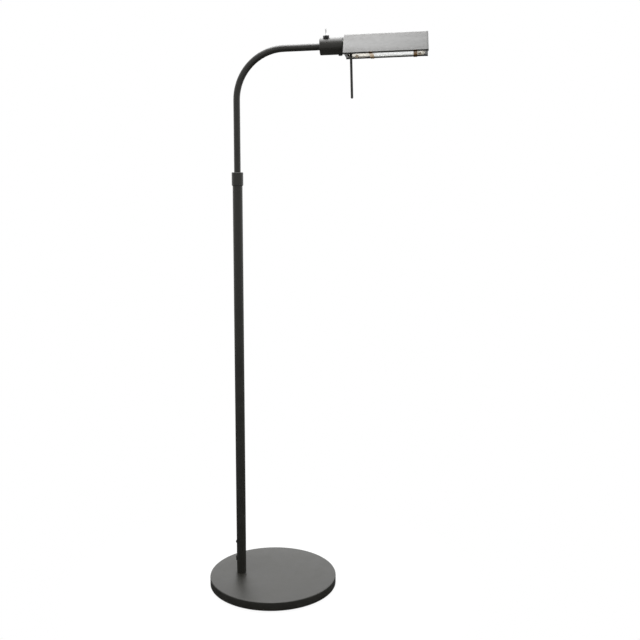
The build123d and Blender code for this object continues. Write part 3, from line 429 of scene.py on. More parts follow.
fit(cord_inlet, rubber, "base", "cord_grommet")


# Earth screw: a black pan-head machine screw with a cross recess, in a tapped hole above the cord inlet.
# Its thread bites in the pole's wall and holds the earth tag inside.

EARTH_HEAD_R = 3.0 * MM
EARTH_HEAD_H = 1.6 * MM
EARTH_ROUND = 1.2 * MM
EARTH_SHANK_R = 2.0 * MM
EARTH_SHANK_L = 6.0 * MM
THREAD_PITCH = 0.7 * MM
THREAD_DEPTH = 0.22 * MM
THREAD_ROWS = 6
THREAD_START = 0.1 * MM
SCREW_TIP_L = 0.4 * MM
SCREW_TIP_R = 0.75
SCREW_COLUMNS = 72
SCREW_UNDER = 0.15 * MM
RECESS_ROWS = 18
RECESS_FLAT = 0.62
RECESS_TOP = 0.9
RECESS_BAR = 0.13
RECESS_REACH = 0.52
RECESS_SOFT = 0.10
RECESS_DEPTH = 0.55


def ramp(value):
    """Smooth step from 0 at 0 to 1 at 1: three squares less two cubes."""
    value = np.clip(value, 0, 1)
    return value * value * (3 - 2 * value)


def thread(turns, height, pitch):
    """How deep a thread is cut, 0 to 1: a triangle wave of the turn plus the height over the pitch."""
    return abs((turns + height / pitch) % 1 - 0.5) * 2


def machine_screw(head_r, head_h, head_round, shank_r, shank_l, foot, axis):
    """Pan head with a cross recess on a threaded shank: a turned profile, cut by two formulas.

    The recess sinks the top by a cross of two bars, whose depth falls off towards their ends. The thread
    is taken off the shank's radius.
    """
    flat = np.linspace(0, RECESS_FLAT * head_r, RECESS_ROWS)
    top = np.stack([flat, np.full(RECESS_ROWS, head_h)], -1)
    shank = np.linspace(-THREAD_START, SCREW_TIP_L - shank_l, int(shank_l / THREAD_PITCH * THREAD_ROWS))
    rim = rounded(
        [top[-1], (head_r, head_h), (head_r, 0), (shank_r, 0)], [head_round, SCREW_UNDER]
    )[1:]
    tip = [(SCREW_TIP_R * shank_r, -shank_l), (0, -shank_l)]
    profile = np.concatenate([top, rim, np.stack([np.full(len(shank), shank_r), shank], -1), tip])
    grid = turned(profile, foot, axis, SCREW_COLUMNS)
    angle = np.linspace(0, 2 * np.pi, SCREW_COLUMNS, endpoint=False)
    x = profile[:, :1] * np.cos(angle)
    y = profile[:, :1] * np.sin(angle)
    bar, arm, soft = RECESS_BAR * head_r, RECESS_REACH * head_r, RECESS_SOFT * head_r
    upright = ramp((bar + soft - abs(x)) / soft) * ramp((arm - abs(y)) / arm * 2)
    level = ramp((bar + soft - abs(y)) / soft) * ramp((arm - abs(x)) / arm * 2)
    on_top = profile[:, 1:] > RECESS_TOP * head_h
    sunk = np.maximum(upright, level) * RECESS_DEPTH * head_h * on_top
    wave = thread(angle / (2 * np.pi), profile[:, 1:], THREAD_PITCH)
    on_shank = (profile[:, 1:] < -THREAD_START / 2) & (profile[:, 1:] > SCREW_TIP_L / 2 - shank_l)
    axis = np.asarray(axis, float) / np.linalg.norm(axis)
    middle = np.asarray(foot, float) + profile[:, None, 1:] * axis
    thinner = 1 - np.where(on_shank, wave * THREAD_DEPTH / shank_r, 0)
    return middle + (grid - middle) * thinner[..., None] - sunk[..., None] * axis


earth_low, earth_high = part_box("earth_screw")
earth_z = (earth_low.z + earth_high.z) / 2
earth_bolt = solid("earth_bolt", machine_screw(
    EARTH_HEAD_R, EARTH_HEAD_H, EARTH_ROUND, EARTH_SHANK_R, EARTH_SHANK_L,
    (earth_low.x + EARTH_HEAD_H, 0, earth_z), (-1, 0, 0),
))
fit(earth_bolt, satin_black, "base", "earth_screw")


# Guide collar and bush pin: a turned steel collar over the pole's top that closes in on the tube, and
# below it a domed rivet whose tip keeps the bush in place. Both are painted with the pole.

dress(satin_black, "guide_collar", "bush_pin")


# Bush and lower guide: natural nylon, moulded, slightly yellow, inside the pole.
# They grip and steer the sliding tube, and a plated cross pin holds the guide on the tube's foot.

NYLON_DARK = (0.62, 0.60, 0.54, 1)
NYLON_LIGHT = (0.72, 0.70, 0.64, 1)
nylon = skinned(
    "natural_nylon",
    {"Scale": 700.0, "Dark": NYLON_DARK, "Light": NYLON_LIGHT,
     "Smooth": 0.35, "Rough": 0.5, "Depth": 0.03 * MM},
    IOR=1.53,
    Subsurface_Weight=0.2,
    Subsurface_Scale=1.0 * MM,
)
dress(nylon, "friction_bush", "lower_guide")
dress(zinc, "guide_pin")


# Arm: one length of half-inch steel tube, bent once, which slides and turns in the collar.
# It is painted before it is put in, so the black goes on below the collar.

dress(satin_black, "arm_tube")


# Swivel housing: a cup turned from bar, screwed on the arm's threaded end, with flats cut for the switch
# and for the tension screw. It is painted with the arm.

dress(satin_black, "swivel_housing")


# Hardware inside the housing: lock washer and nut of the arm, the cap that carries the stem, and the stem
# with its wave washer and nuts, all zinc plated. The thrust washer against the shade and the tension
# screw's pad are nylon.

dress(zinc, "arm_lock_washer", "arm_lock_nut", "housing_cap", "swivel_stem", "wave_washer",
      "retaining_nut", "stem_lock_nut")
dress(nylon, "thrust_washer", "tension_pad")


# Tension screw: a slotted thumb screw with a straight knurl, up through the housing's underside.
# It presses a nylon pad on the stem and sets how hard the shade turns. It is chemically blackened.

KNURL_COUNT = 24
KNURL_DEPTH = 0.16 * MM
TENSION_HEAD_H = 2.6 * MM
TENSION_SHANK_R = 2.0 * MM
TENSION_ROUND = 0.6 * MM
TENSION_SLOT = 0.45 * MM
TENSION_SLOT_DEPTH = 1.3 * MM
TENSION_FLAT = 0.8
TENSION_ROWS = 20
TENSION_COLUMNS = 192
TENSION_EDGE = 0.3 * MM
TENSION_ROOT = 0.1 * MM
SLOT_SOFT = 0.2 * MM
KNURL_FROM = 0.9

joints = {joint["name"]: joint for joint in frame["joints"]}
HEAD_X = np.array(joints["shade_swivel"]["axis"], float)
HEAD_Y = np.array([0.0, 1.0, 0.0])
HEAD = np.stack([HEAD_X, HEAD_Y, np.cross(HEAD_X, HEAD_Y)], -1)
HEAD_FOOT = np.array(joints["shade_swivel"]["pos_m"], float)
HEAD_FOOT = HEAD_FOOT - HEAD_X * (HEAD_FOOT[0] - pole_x) / HEAD_X[0]


def head(points, ways=HEAD):
    """Points (along the arm from the pole, across it, over it) brought into the lamp's own frame."""
    return HEAD_FOOT + np.asarray(points, float) @ ways.T


def reach(name, ways=HEAD):
    """Lowest and highest corner of a solid in the head's directions: along, across and over the arm."""
    mesh = frame["nodes"][name].data
    flat = np.empty(3 * len(mesh.vertices), np.float32)
    mesh.vertices.foreach_get("co", flat)
    own = (flat.reshape(-1, 3) - HEAD_FOOT) @ ways
    return own.min(0), own.max(0)


tension_low, tension_high = reach("tension_screw")
tension_s = (tension_low[0] + tension_high[0]) / 2
tension_r = tension_high[1]
tension_l = tension_high[2] - tension_low[2]
flat_r = np.linspace(0, TENSION_FLAT * tension_r, TENSION_ROWS)
flat_top = np.stack([flat_r, np.full(TENSION_ROWS, tension_l)], -1)
tension_profile = np.concatenate([
    flat_top,
    rounded(
        [flat_top[-1], (tension_r, tension_l), (tension_r, tension_l - TENSION_HEAD_H),
         (TENSION_SHANK_R, tension_l - TENSION_HEAD_H), (TENSION_SHANK_R, 0), (0, 0)],
        [TENSION_ROUND, TENSION_EDGE, TENSION_ROOT, TENSION_EDGE],
    )[1:],
])
tension_grid = turned(tension_profile, (tension_s, 0, tension_high[2]), (0, 0, -1), TENSION_COLUMNS)
spoke = tension_grid - (tension_s, 0, 0)
turn = np.arctan2(spoke[..., 1], spoke[..., 0])
on_rim = ramp((tension_profile[:, :1] / tension_r - KNURL_FROM) / (1 - KNURL_FROM))
notch = 1 - KNURL_DEPTH / tension_r * on_rim * abs(np.sin(KNURL_COUNT / 2 * turn))
tension_grid[..., :2] = (tension_s, 0) + spoke[..., :2] * notch[..., None]
in_slot = ramp((TENSION_SLOT - abs(spoke[..., 1])) / SLOT_SOFT + 0.5)
tension_grid[..., 2] += TENSION_SLOT_DEPTH * in_slot * (tension_profile[:, 1:] > tension_l - SLOT_SOFT)
tension_knob = solid("tension_knob", head(tension_grid))
blackened = skinned(
    "blackened_steel",
    {"Scale": 1500.0, "Dark": grey(0.020), "Light": grey(0.050),
     "Smooth": 0.26, "Rough": 0.42, "Depth": 0.02 * MM},
    Metallic=0.5,
)
fit(tension_knob, blackened, "arm", "tension_screw")


# Switch body: dark phenolic, compression moulded, hanging inside the housing's wall from its own bushing.
# Two brass terminals are moulded in below.

phenolic = skinned(
    "moulded_phenolic",
    {"Scale": 1500.0, "Dark": (0.03, 0.02, 0.015, 1), "Light": (0.06, 0.04, 0.03, 1),
     "Smooth": 0.25, "Rough": 0.4, "Depth": 0.02 * MM},
    IOR=1.6,
)
brass = skinned(
    "plain_brass",
    {"Scale": 1500.0, "Dark": (0.50, 0.36, 0.15, 1), "Light": (0.72, 0.55, 0.27, 1),
     "Smooth": 0.22, "Rough": 0.38, "Depth": 0.02 * MM},
    Metallic=1.0,
)
dress(phenolic, "switch_body")
dress(brass, "switch_terminals")


# Switch bushing: a threaded brass sleeve, bright nickel and chrome plated, in which the lever pivots.
# It stands out through the housing's wall, and the nut on it clamps the switch.

BUSHING_BORE_R = 2.05 * MM
BUSHING_PITCH = 0.6 * MM
BUSHING_DEPTH = 0.2 * MM
BUSHING_EDGE = 0.3 * MM
BUSHING_ROWS = 110
BUSHING_COLUMNS = 72
CHROME_DARK = 0.68
CHROME_LIGHT = 0.76

pivot = np.array(joints["switch_toggle"]["pos_m"], float)
switch_out = (pivot - HEAD_FOOT) @ HEAD * (0, 1, 1)
switch_out = HEAD @ switch_out / np.linalg.norm(switch_out)
SWITCH = np.stack([HEAD_X, np.cross(switch_out, HEAD_X), switch_out], -1)
bushing_low, bushing_high = reach("switch_bushing", SWITCH)
switch_s = (bushing_low[0] + bushing_high[0]) / 2
bushing_r = bushing_high[1]
bushing_l = bushing_high[2] - bushing_low[2]
rise = np.linspace(BUSHING_EDGE, bushing_l - BUSHING_EDGE, BUSHING_ROWS)
bushing_profile = np.concatenate([
    [(BUSHING_BORE_R, BUSHING_EDGE), (BUSHING_BORE_R + BUSHING_EDGE, 0), (bushing_r - BUSHING_EDGE, 0)],
    np.stack([np.full(BUSHING_ROWS, bushing_r), rise], -1),
    [(bushing_r - BUSHING_EDGE, bushing_l), (BUSHING_BORE_R + BUSHING_EDGE, bushing_l),
     (BUSHING_BORE_R, bushing_l - BUSHING_EDGE)],
])
bushing_grid = turned(bushing_profile, (switch_s, 0, bushing_low[2]), (0, 0, 1), BUSHING_COLUMNS)
turn_share = np.linspace(0, 1, BUSHING_COLUMNS, endpoint=False)
crest = thread(turn_share, bushing_profile[:, 1:], BUSHING_PITCH)
on_thread = bushing_profile[:, :1] > bushing_r - BUSHING_EDGE / 2
cut = 1 - np.where(on_thread, crest * BUSHING_DEPTH / bushing_r, 0)
bushing_grid[..., :2] = (switch_s, 0) + (bushing_grid[..., :2] - (switch_s, 0)) * cut[..., None]
threaded_bushing = solid("threaded_bushing", head(bushing_grid, SWITCH))
chrome = skinned(
    "bright_chrome",
    {"Scale": 1200.0, "Dark": grey(CHROME_DARK), "Light": grey(CHROME_LIGHT),
     "Smooth": 0.18, "Rough": 0.28, "Depth": 0.005 * MM, "Round": 0.1 * MM},
    Metallic=1.0,
)
fit(threaded_bushing, chrome, "arm", "switch_bushing")


# Switch washer and nut: blackened steel. The nut is cut from hexagon bar, chamfered at both ends,
# and clamps the switch to the flat that is milled on the housing.

NUT_BORE_R = 3.225 * MM
NUT_CHAMFER_R = 4.85 * MM
NUT_CHAMFER_H = 0.5 * MM
NUT_ROWS = 13
NUT_COLUMNS = 72

nut_low, nut_high = reach("switch_nut", SWITCH)
nut_h = nut_high[2] - nut_low[2]
nut_flat = min(nut_high[:2] - nut_low[:2]) / 2
nut_rise = np.concatenate([[0], np.linspace(0, nut_h, NUT_ROWS), [nut_h]])
nut_profile = np.stack([np.r_[NUT_BORE_R, np.full(NUT_ROWS, nut_flat), NUT_BORE_R], nut_rise], -1)
nut_grid = turned(nut_profile, (switch_s, 0, nut_low[2]), (0, 0, 1), NUT_COLUMNS)
nut_turn = np.linspace(0, 2 * np.pi, NUT_COLUMNS, endpoint=False)
hexagon = nut_flat / np.cos(nut_turn % (np.pi / 3) - np.pi / 6)
ends = np.minimum(nut_rise, nut_h - nut_rise)[:, None]
cone = NUT_CHAMFER_R + ends / NUT_CHAMFER_H * (nut_flat / np.cos(np.pi / 6) - NUT_CHAMFER_R)
outside = np.where(nut_profile[:, :1] > NUT_BORE_R, np.minimum(hexagon, cone), NUT_BORE_R)
nut_spoke = (nut_grid[..., :2] - (switch_s, 0)) / nut_profile[:, :1, None]
nut_grid[..., :2] = (switch_s, 0) + nut_spoke * outside[..., None]
hexagon_nut = solid("hexagon_nut", head(nut_grid, SWITCH))
fit(hexagon_nut, blackened, "arm", "switch_nut")
dress(blackened, "switch_washer")


# Toggle lever: a bat handle turned from brass and chrome plated, with a ball that pivots in the bushing.
# It swells from a slim neck to a round tip, and flips across the arm.

LEVER_BALL_R = 1.8 * MM
LEVER_NECK_R = 0.95 * MM
LEVER_NECK_END = 2.5 * MM
LEVER_TIP_R = 1.9 * MM
LEVER_L = 15.0 * MM
LEVER_TILT = radians(12)
LEVER_ROWS = 80

lean = SWITCH @ (0, np.sin(LEVER_TILT), np.cos(LEVER_TILT))
lever_way = (1 - np.cos(np.linspace(0, np.pi, LEVER_ROWS))) / 2
lever_rise = -LEVER_BALL_R + lever_way * (LEVER_L + LEVER_BALL_R)
shoulder = LEVER_L - LEVER_TIP_R
ball = np.sqrt(np.clip(LEVER_BALL_R ** 2 - lever_rise ** 2, 0, None))
swell_share = ramp((lever_rise - LEVER_NECK_END) / (shoulder - LEVER_NECK_END))
swell = LEVER_NECK_R + (LEVER_TIP_R - LEVER_NECK_R) * swell_share
dome = np.sqrt(np.clip(LEVER_TIP_R ** 2 - (lever_rise - shoulder) ** 2, 0, None))
bat = np.where(lever_rise > shoulder, dome, np.where(lever_rise > 0, np.maximum(ball, swell), ball))
bat[[0, -1]] = 0
bat_lever = solid("bat_lever", turned(np.stack([bat, lever_rise], -1), pivot, lean, columns=48))
fit(bat_lever, chrome, "toggle", "toggle_lever")


# Handle: a straight steel rod with a round end, screwed up into a small block on the stem's end.
# The rod turns the shade without touching the hot sheet. Both are painted black.

ROD_SPIGOT_R = 2.0 * MM
ROD_SPIGOT_L = 6.0 * MM
ROD_CHAMFER = 0.3 * MM
ROD_DOME = 0.98

rod_low, rod_high = reach("handle_rod")
rod_s = (rod_low[0] + rod_high[0]) / 2
rod_r = rod_high[1]
rod_l = rod_high[2] - rod_low[2]
rod_profile = rounded(
    [(0, 0), (ROD_SPIGOT_R, 0), (ROD_SPIGOT_R, ROD_SPIGOT_L), (rod_r, ROD_SPIGOT_L),
     (rod_r, rod_l), (0, rod_l)],
    [ROD_CHAMFER, ROD_CHAMFER / 3, ROD_CHAMFER / 3, ROD_DOME * rod_r], steps=10,
)
rod_grid = turned(rod_profile, (rod_s, 0, rod_high[2]), (0, 0, -1), columns=48)
round_rod = solid("round_rod", head(rod_grid))
fit(round_rod, satin_black, "shade", "handle_rod")
dress(satin_black, "handle_block")


# Shade shell: one steel sheet folded over a round ridge into a tent, with upright lips and turned-in hems.
# Its outer end flares a hair where it laps the pan. It is black outside and on its edges, white inside.

SHELL_T = 1.0 * MM
SHELL_LIP_H = 2.3 * MM
SHELL_RISE = 39.5 * MM
SHELL_RIDGE_R = 7.0 * MM
SHELL_FOLD_R = 1.2 * MM
TENT_RADII = np.array([SHELL_FOLD_R, SHELL_FOLD_R, SHELL_RIDGE_R, SHELL_FOLD_R, SHELL_FOLD_R])
SHELL_HEM = 6.0 * MM
SHELL_FLARE = 0.25 * MM
SHELL_LAP = 6.0 * MM
SHELL_SOFT = 0.2 * MM
SECTION_STEPS = 3
SHELL_LIP_LEFT = 0.45 * MM
WHITE_DARK = (0.74, 0.71, 0.63, 1)
WHITE_LIGHT = (0.83, 0.80, 0.72, 1)


def folded(path, section, soft):
    """Strip of sheet bent along a path across the arm: every point of its section is set square to the path.

    Section points are (along the arm, out from the path). The strip's two ends draw in by soft and close.
    """
    first = path[:1] + soft * (path[1:2] - path[:1]) / np.linalg.norm(path[1] - path[0])
    last = path[-1:] + soft * (path[-2:-1] - path[-1:]) / np.linalg.norm(path[-2] - path[-1])
    path = np.concatenate([path[:1], path[:1], first, path[1:-1], last, path[-1:], path[-1:]])
    run = np.gradient(path, axis=0)
    run[:2], run[-2:] = run[2], run[-3]
    run = run / np.linalg.norm(run, axis=1, keepdims=True)
    square = np.stack([-run[:, 1], run[:, 0]], -1)
    middle = (section.min(0) + section.max(0)) / 2
    half = (section.max(0) - section.min(0)) / 2
    drawn = np.ones((len(path), 1, 2))
    drawn[[1, -2]] = 1 - soft / half
    drawn[[0, -1]] = 0
    shape = middle + (section - middle) * drawn
    across = path[:, None] + shape[..., 1:] * square[:, None]
    return np.concatenate([shape[..., :1], across], -1)


shell_low, shell_high = reach("shade_shell")
half_w = shell_high[1]
lip_foot = shell_low[2]
lip_top = lip_foot + SHELL_LIP_H
slope = np.arctan2(SHELL_RISE, half_w)


def tent(inset):
    """Corners of the shade's outline, drawn in by inset: hem, lip, ridge, lip, hem, as (across, over).

    Where the inset uses up the lip, a short stretch of it stays on the panel's own line.
    """
    foot = lip_foot + inset
    ridge = lip_top + SHELL_RISE - inset / np.cos(slope)
    lip = max(lip_top + inset * np.tan(slope) - inset / np.cos(slope), foot + SHELL_LIP_LEFT)
    side = min(half_w - inset, (ridge - lip) / np.tan(slope))
    return np.array([(-side, foot), (-side, lip), (0, ridge), (side, lip), (side, foot)])


def facing(piece):
    """Centre and normal of every face, in the head's directions, and whether it looks into the shade."""
    faces = piece.data.polygons
    both = np.empty((2, 3 * len(faces)), np.float32)
    faces.foreach_get("center", both[0])
    faces.foreach_get("normal", both[1])
    centres, normals = both.reshape(2, -1, 3)
    centres, normals = (centres - HEAD_FOOT) @ HEAD, normals @ HEAD
    inwards = (normals * (centres - (0, 0, lip_top + SHELL_LIP_H)))[:, 1:].sum(1) < 0
    return centres, normals, inwards


def line(piece, inside):
    """Mark the faces that are painted white inside, in a face attribute that the two-tone enamel reads."""
    lining = piece.data.attributes.new("lining", "FLOAT", "FACE")
    lining.data.foreach_set("value", inside.astype(np.float32))


middle_line = tent(SHELL_T / 2)
hem_edge = half_w - SHELL_HEM
hem_start = np.array([(-hem_edge, middle_line[0, 1])])
shell_path = rounded(
    np.concatenate([hem_start, middle_line, hem_start * (-1, 1)]),
    TENT_RADII - SHELL_T / 2,
    steps=12,
)
inner_lap = shell_low[0] + SHELL_LAP
outer_lap = shell_high[0] - SHELL_LAP
out = SHELL_T / 2
shell_section = rounded(
    [(shell_low[0], -out), (outer_lap, -out), (shell_high[0], SHELL_FLARE - out),
     (shell_high[0], SHELL_FLARE + out), (outer_lap, out), (shell_low[0], out)],
    np.array([1, 5, 1, 1, 5, 1]) * SHELL_SOFT, steps=SECTION_STEPS, closed=True,
)
one_corner = SECTION_STEPS + 1
shell_section = np.insert(
    shell_section, (one_corner, 5 * one_corner), [(inner_lap, -out), (inner_lap, out)], axis=0
)
folded_shade = solid("folded_shade", head(folded(shell_path, shell_section, SHELL_SOFT)))
centres, _, inwards = facing(folded_shade)
between_laps = (centres[:, 0] > inner_lap) & (centres[:, 0] < outer_lap)
line(folded_shade, inwards & between_laps & (centres[:, 2] > lip_top))
two_tone = satin_black.copy()
two_tone.name = "black_and_white_enamel"
shell_tree = two_tone.node_tree
shell_shader = shell_tree.nodes["Principled BSDF"].inputs
drawn_coat = next(item for item in shell_tree.nodes if getattr(item, "node_tree", None) == SKIN).inputs
drawn_coat["Stretch"].default_value = (0.12, 1, 1)
drawn_coat["Smooth"].default_value = 0.33
drawn_coat["Rough"].default_value = 0.52
white_skin = placed(
    shell_tree, SKIN, Scale=600.0, Stretch=(1, 1, 1), Dark=WHITE_DARK, Light=WHITE_LIGHT,
    Smooth=0.35, Rough=0.5, Depth=0.0, Round=0.0,
)
lined = node(shell_tree, "Attribute", {"attribute_name": "lining"})["Fac"]
outside = shell_shader["Base Color"].links[0].from_socket
both_tones = node(shell_tree, "MixRGB", Fac=lined, Color1=outside, Color2=white_skin["Color"])[0]
give(shell_tree, shell_shader, Base_Color=both_tones)
fit(folded_shade, two_tone, "shade", "shade_shell")


# Shade ends: two pans pressed from sheet, with their flanges turned in, spot welded just inside the shell.
# The inner one is pierced for the stem and black all over. The black of its inside is painted shade
# behind the handle block. The outer one is white inside, as the shell is.

PAN_T = 1.2 * MM
PAN_DEPTH = 6.0 * MM
PAN_INSET = 1.1 * MM
PAN_BEND = 1.6 * MM
PAN_HOLE_R = 5.1 * MM
PAN_MIDDLE = 9.0 * MM
PAN_SOFT = 0.4 * MM
PAN_LEAST_R = 0.3 * MM


def pan_ring(inset):
    """Outline of the tent drawn in by inset, with corners rounded as far as the inset leaves them round."""
    return rounded(tent(inset), np.maximum(TENT_RADII - inset, PAN_LEAST_R), steps=8, closed=True)


def pressed_pan(face, inward, hole_r):
    """Pan from rings of the outline: a flat face, a bend into the flange, and the same one sheet further in.

    Each ring is the outline drawn in by one distance at one place along the arm. The flat closes in a point,
    or on the hole's circle, whose points lie on the same spokes as the outline's.
    """
    profile = rounded(
        [(PAN_MIDDLE, 0), (PAN_INSET, 0), (PAN_INSET, PAN_DEPTH), (PAN_INSET + PAN_T, PAN_DEPTH),
         (PAN_INSET + PAN_T, PAN_T), (PAN_MIDDLE, PAN_T)],
        [PAN_BEND, PAN_SOFT, PAN_SOFT, PAN_SOFT],
    )
    rings = np.stack([pan_ring(inset) for inset in profile[:, 0]])
    core = rings[0] / np.linalg.norm(rings[0], axis=1, keepdims=True) * hole_r
    rings = np.concatenate([core[None], rings, core[None]])
    along = face + inward * np.r_[0, profile[:, 1], PAN_T]
    return np.concatenate([np.broadcast_to(along[:, None, None], (*rings.shape[:2], 1)), rings], -1)


inner_face = reach("shade_inner_end")[0][0]
outer_face = reach("shade_outer_end")[1][0]
# The inner pan's inside stays black: painted shade behind the handle block.
inner_pan = solid("inner_pan", head(pressed_pan(inner_face, 1, PAN_HOLE_R)))
outer_pan = solid("outer_pan", head(pressed_pan(outer_face, -1, 0.0)))
_, normals, inwards = facing(outer_pan)
line(outer_pan, (normals[:, 0] < -0.5) | inwards & (abs(normals[:, 0]) < 0.5))
for pan, paint, replaced in (
    (inner_pan, satin_black, "shade_inner_end"),
    (outer_pan, two_tone, "shade_outer_end"),
):
    fit(pan, paint, "shade", replaced)


# Reflector: thin steel sheet folded to the tent's shape, in warm white enamel baked on both sides.
# It hangs on four zinc-plated studs welded under the panels, a finger's breadth inside the shell.

REFLECTOR_T = 0.6 * MM
REFLECTOR_GAP = 5.0 * MM
REFLECTOR_BEND = 1.6 * MM
REFLECTOR_SOFT = 0.15 * MM

reflector_low, reflector_high = reach("reflector")


def panel_y(height, depth):
    """Half breadth, at a height over the arm, of a plane that lies depth under the shade's outer panel."""
    return half_w - (height - lip_top + depth / np.cos(slope)) / np.tan(slope)


def flat_section(low, high, thick, soft):
    """Section of a flat strip: a rectangle from low to high along the arm, with soft corners."""
    thin = thick / 2
    corners = [(low, -thin), (high, -thin), (high, thin), (low, thin)]
    return rounded(corners, soft, steps=SECTION_STEPS, closed=True)


sheet_depth = REFLECTOR_GAP + REFLECTOR_T / 2
sheet_top = reflector_high[2] - REFLECTOR_T / 2
foot_y = panel_y(reflector_low[2], sheet_depth)
top_y = panel_y(sheet_top, sheet_depth)
reflector_path = rounded(
    [(-foot_y, reflector_low[2]), (-top_y, sheet_top), (top_y, sheet_top), (foot_y, reflector_low[2])],
    REFLECTOR_BEND, steps=10,
)
reflector_section = flat_section(reflector_low[0], reflector_high[0], REFLECTOR_T, REFLECTOR_SOFT)
white_reflector = solid("white_reflector", head(folded(reflector_path, reflector_section, REFLECTOR_SOFT)))
white_enamel = enamelled(
    "white_enamel",
    {"Scale": 600.0, "Dark": WHITE_DARK, "Light": WHITE_LIGHT,
     "Smooth": 0.35, "Rough": 0.5, "Depth": 0.03 * MM},
    wear=0.25,
    dust=0.0,
    IOR=1.5,
)
fit(white_reflector, white_enamel, "shade", "reflector")
dress(zinc, "reflector_studs")


# Reflector and holder screws: zinc-plated pan heads with a cross recess, dulled and browned by the heat.
# Four go from inside the reflector into the studs, and four through its top into the lamp holders.

SCREW_HEAD_R = 2.75 * MM
SCREW_HEAD_H = 2.0 * MM
SCREW_ROUND = 1.3 * MM
SCREW_SHANK_R = 1.5 * MM
STUD_SCREW_L = 3.6 * MM
HOLDER_SCREW_L = 6.0 * MM
STUD_UP = 6.0 * MM
STUD_INSET_INNER = 11.7 * MM
STUD_INSET_OUTER = 5.0 * MM
HOLDER_PITCH = 8.0 * MM

dull_zinc = skinned(
    "heat_dulled_zinc",
    {"Scale": 1800.0, "Dark": (0.30, 0.24, 0.17, 1), "Light": (0.50, 0.43, 0.34, 1),
     "Smooth": 0.40, "Rough": 0.60, "Depth": 0.02 * MM},
    Metallic=0.4,
)
stud_depth = REFLECTOR_GAP + REFLECTOR_T
stud_z = lip_top + STUD_UP
stud_screws = []
for stud_s in (reflector_low[0] + STUD_INSET_INNER, reflector_high[0] - STUD_INSET_OUTER):
    for side in (-1, 1):
        outward = np.array([0, side * np.sin(slope), np.cos(slope)])
        seat = np.array([stud_s, side * panel_y(stud_z, 0), stud_z]) - outward * stud_depth
        stud_screws.append(head(machine_screw(
            SCREW_HEAD_R, SCREW_HEAD_H, SCREW_ROUND, SCREW_SHANK_R, STUD_SCREW_L, seat, -outward
        )))
holder_screws = []
for holder in ("lamp_holder_inner", "lamp_holder_outer"):
    holder_s = sum(reach(holder))[0] / 2
    for step in (-HOLDER_PITCH / 2, HOLDER_PITCH / 2):
        holder_screws.append(head(machine_screw(
            SCREW_HEAD_R, SCREW_HEAD_H, SCREW_ROUND, SCREW_SHANK_R, HOLDER_SCREW_L,
            (holder_s + step, 0, reflector_high[2]), (0, 0, 1),
        )))
for name, grids, replaced in (
    ("stud_bolts", stud_screws, "reflector_screws"),
    ("holder_bolts", holder_screws, "holder_screws"),
):
    bolts = solid(name, *grids)
    fit(bolts, dull_zinc, "shade", replaced)


# Lamp holders: two blocks of unglazed steatite, pressed and fired, on a plated bracket under the reflector.
# Each has a brass contact that meets the lamp's end. The lamp's own caps are of the same ceramic.

CERAMIC_DARK = (0.72, 0.70, 0.64, 1)
CERAMIC_LIGHT = (0.84, 0.82, 0.77, 1)
ceramic = skinned(
    "fired_steatite",
    {"Scale": 1600.0, "Dark": CERAMIC_DARK, "Light": CERAMIC_LIGHT,
     "Smooth": 0.4, "Rough": 0.6, "Depth": 0.04 * MM},
    IOR=1.55,
)
dress(ceramic, "lamp_holder_inner", "lamp_holder_outer", "bulb_ends")
dress(brass, "lamp_contacts")
dress(zinc, "lamp_bracket")


# Lamp tube: clear quartz drawn in at both ends, where the ceramic caps grip it, with the round nib that is
# left where the tube was filled and sealed.

QUARTZ_WALL = 1.0 * MM
QUARTZ_NECK_R = 3.2 * MM
QUARTZ_DRAW = 4.0 * MM
QUARTZ_RADII = np.array([0.5, 3.0, 3.0, 0.5]) * MM
QUARTZ_SPACE_ROUND = 2.0 * MM
NIB_H = 1.3 * MM
NIB_R = 1.0 * MM
NIB_SPAN = 4
NIB_ROWS = 41

quartz_low, quartz_high = reach("bulb_tube")
quartz_z = (quartz_low[2] + quartz_high[2]) / 2
quartz_r = quartz_high[1]
quartz_l = quartz_high[0] - quartz_low[0]
quartz_profile = rounded(
    [(0, 0), (QUARTZ_NECK_R, 0), (quartz_r, QUARTZ_DRAW), (quartz_r, quartz_l - QUARTZ_DRAW),
     (QUARTZ_NECK_R, quartz_l), (0, quartz_l)],
    QUARTZ_RADII, steps=8,
)
nib_rise = quartz_l / 2 + np.linspace(-NIB_SPAN, NIB_SPAN, NIB_ROWS) * NIB_R
nib_rows = np.stack([np.full(NIB_ROWS, quartz_r), nib_rise], -1)
half_count = len(quartz_profile) // 2
quartz_profile = np.concatenate([quartz_profile[:half_count], nib_rows, quartz_profile[half_count:]])
quartz_place = (quartz_low[0], 0, quartz_z)
quartz_grid = turned(quartz_profile, quartz_place, (1, 0, 0), columns=96)
quartz_spoke = quartz_grid[..., 1:] - (0, quartz_z)
off_nib = np.hypot(quartz_spoke[..., 0], quartz_profile[:, 1:] - quartz_l / 2)
swollen = NIB_H / quartz_r * np.exp(-((off_nib / NIB_R) ** 2)) * (quartz_spoke[..., 1] > 0)
quartz_grid[..., 1:] = (0, quartz_z) + quartz_spoke * (1 + swollen[..., None])
bore_r = quartz_r - QUARTZ_WALL
space_profile = rounded(
    [(0, QUARTZ_DRAW), (bore_r, QUARTZ_DRAW), (bore_r, quartz_l - QUARTZ_DRAW), (0, quartz_l - QUARTZ_DRAW)],
    QUARTZ_SPACE_ROUND, steps=8,
)
quartz_space = turned(space_profile, quartz_place, (1, 0, 0))
quartz_tube = solid("quartz_tube", head(quartz_grid), hollow=[head(quartz_space)])
quartz = skinned(
    "clear_quartz",
    {"Scale": 300.0, "Stretch": (0.15, 1, 1),
     "Smooth": 0.02, "Rough": 0.06, "Depth": 0.01 * MM, "Round": 0.0},
    Base_Color=(0.97, 0.98, 0.98, 1),
    IOR=1.46,
    Transmission_Weight=1.0,
)
fit(quartz_tube, quartz, "shade", "bulb_tube")


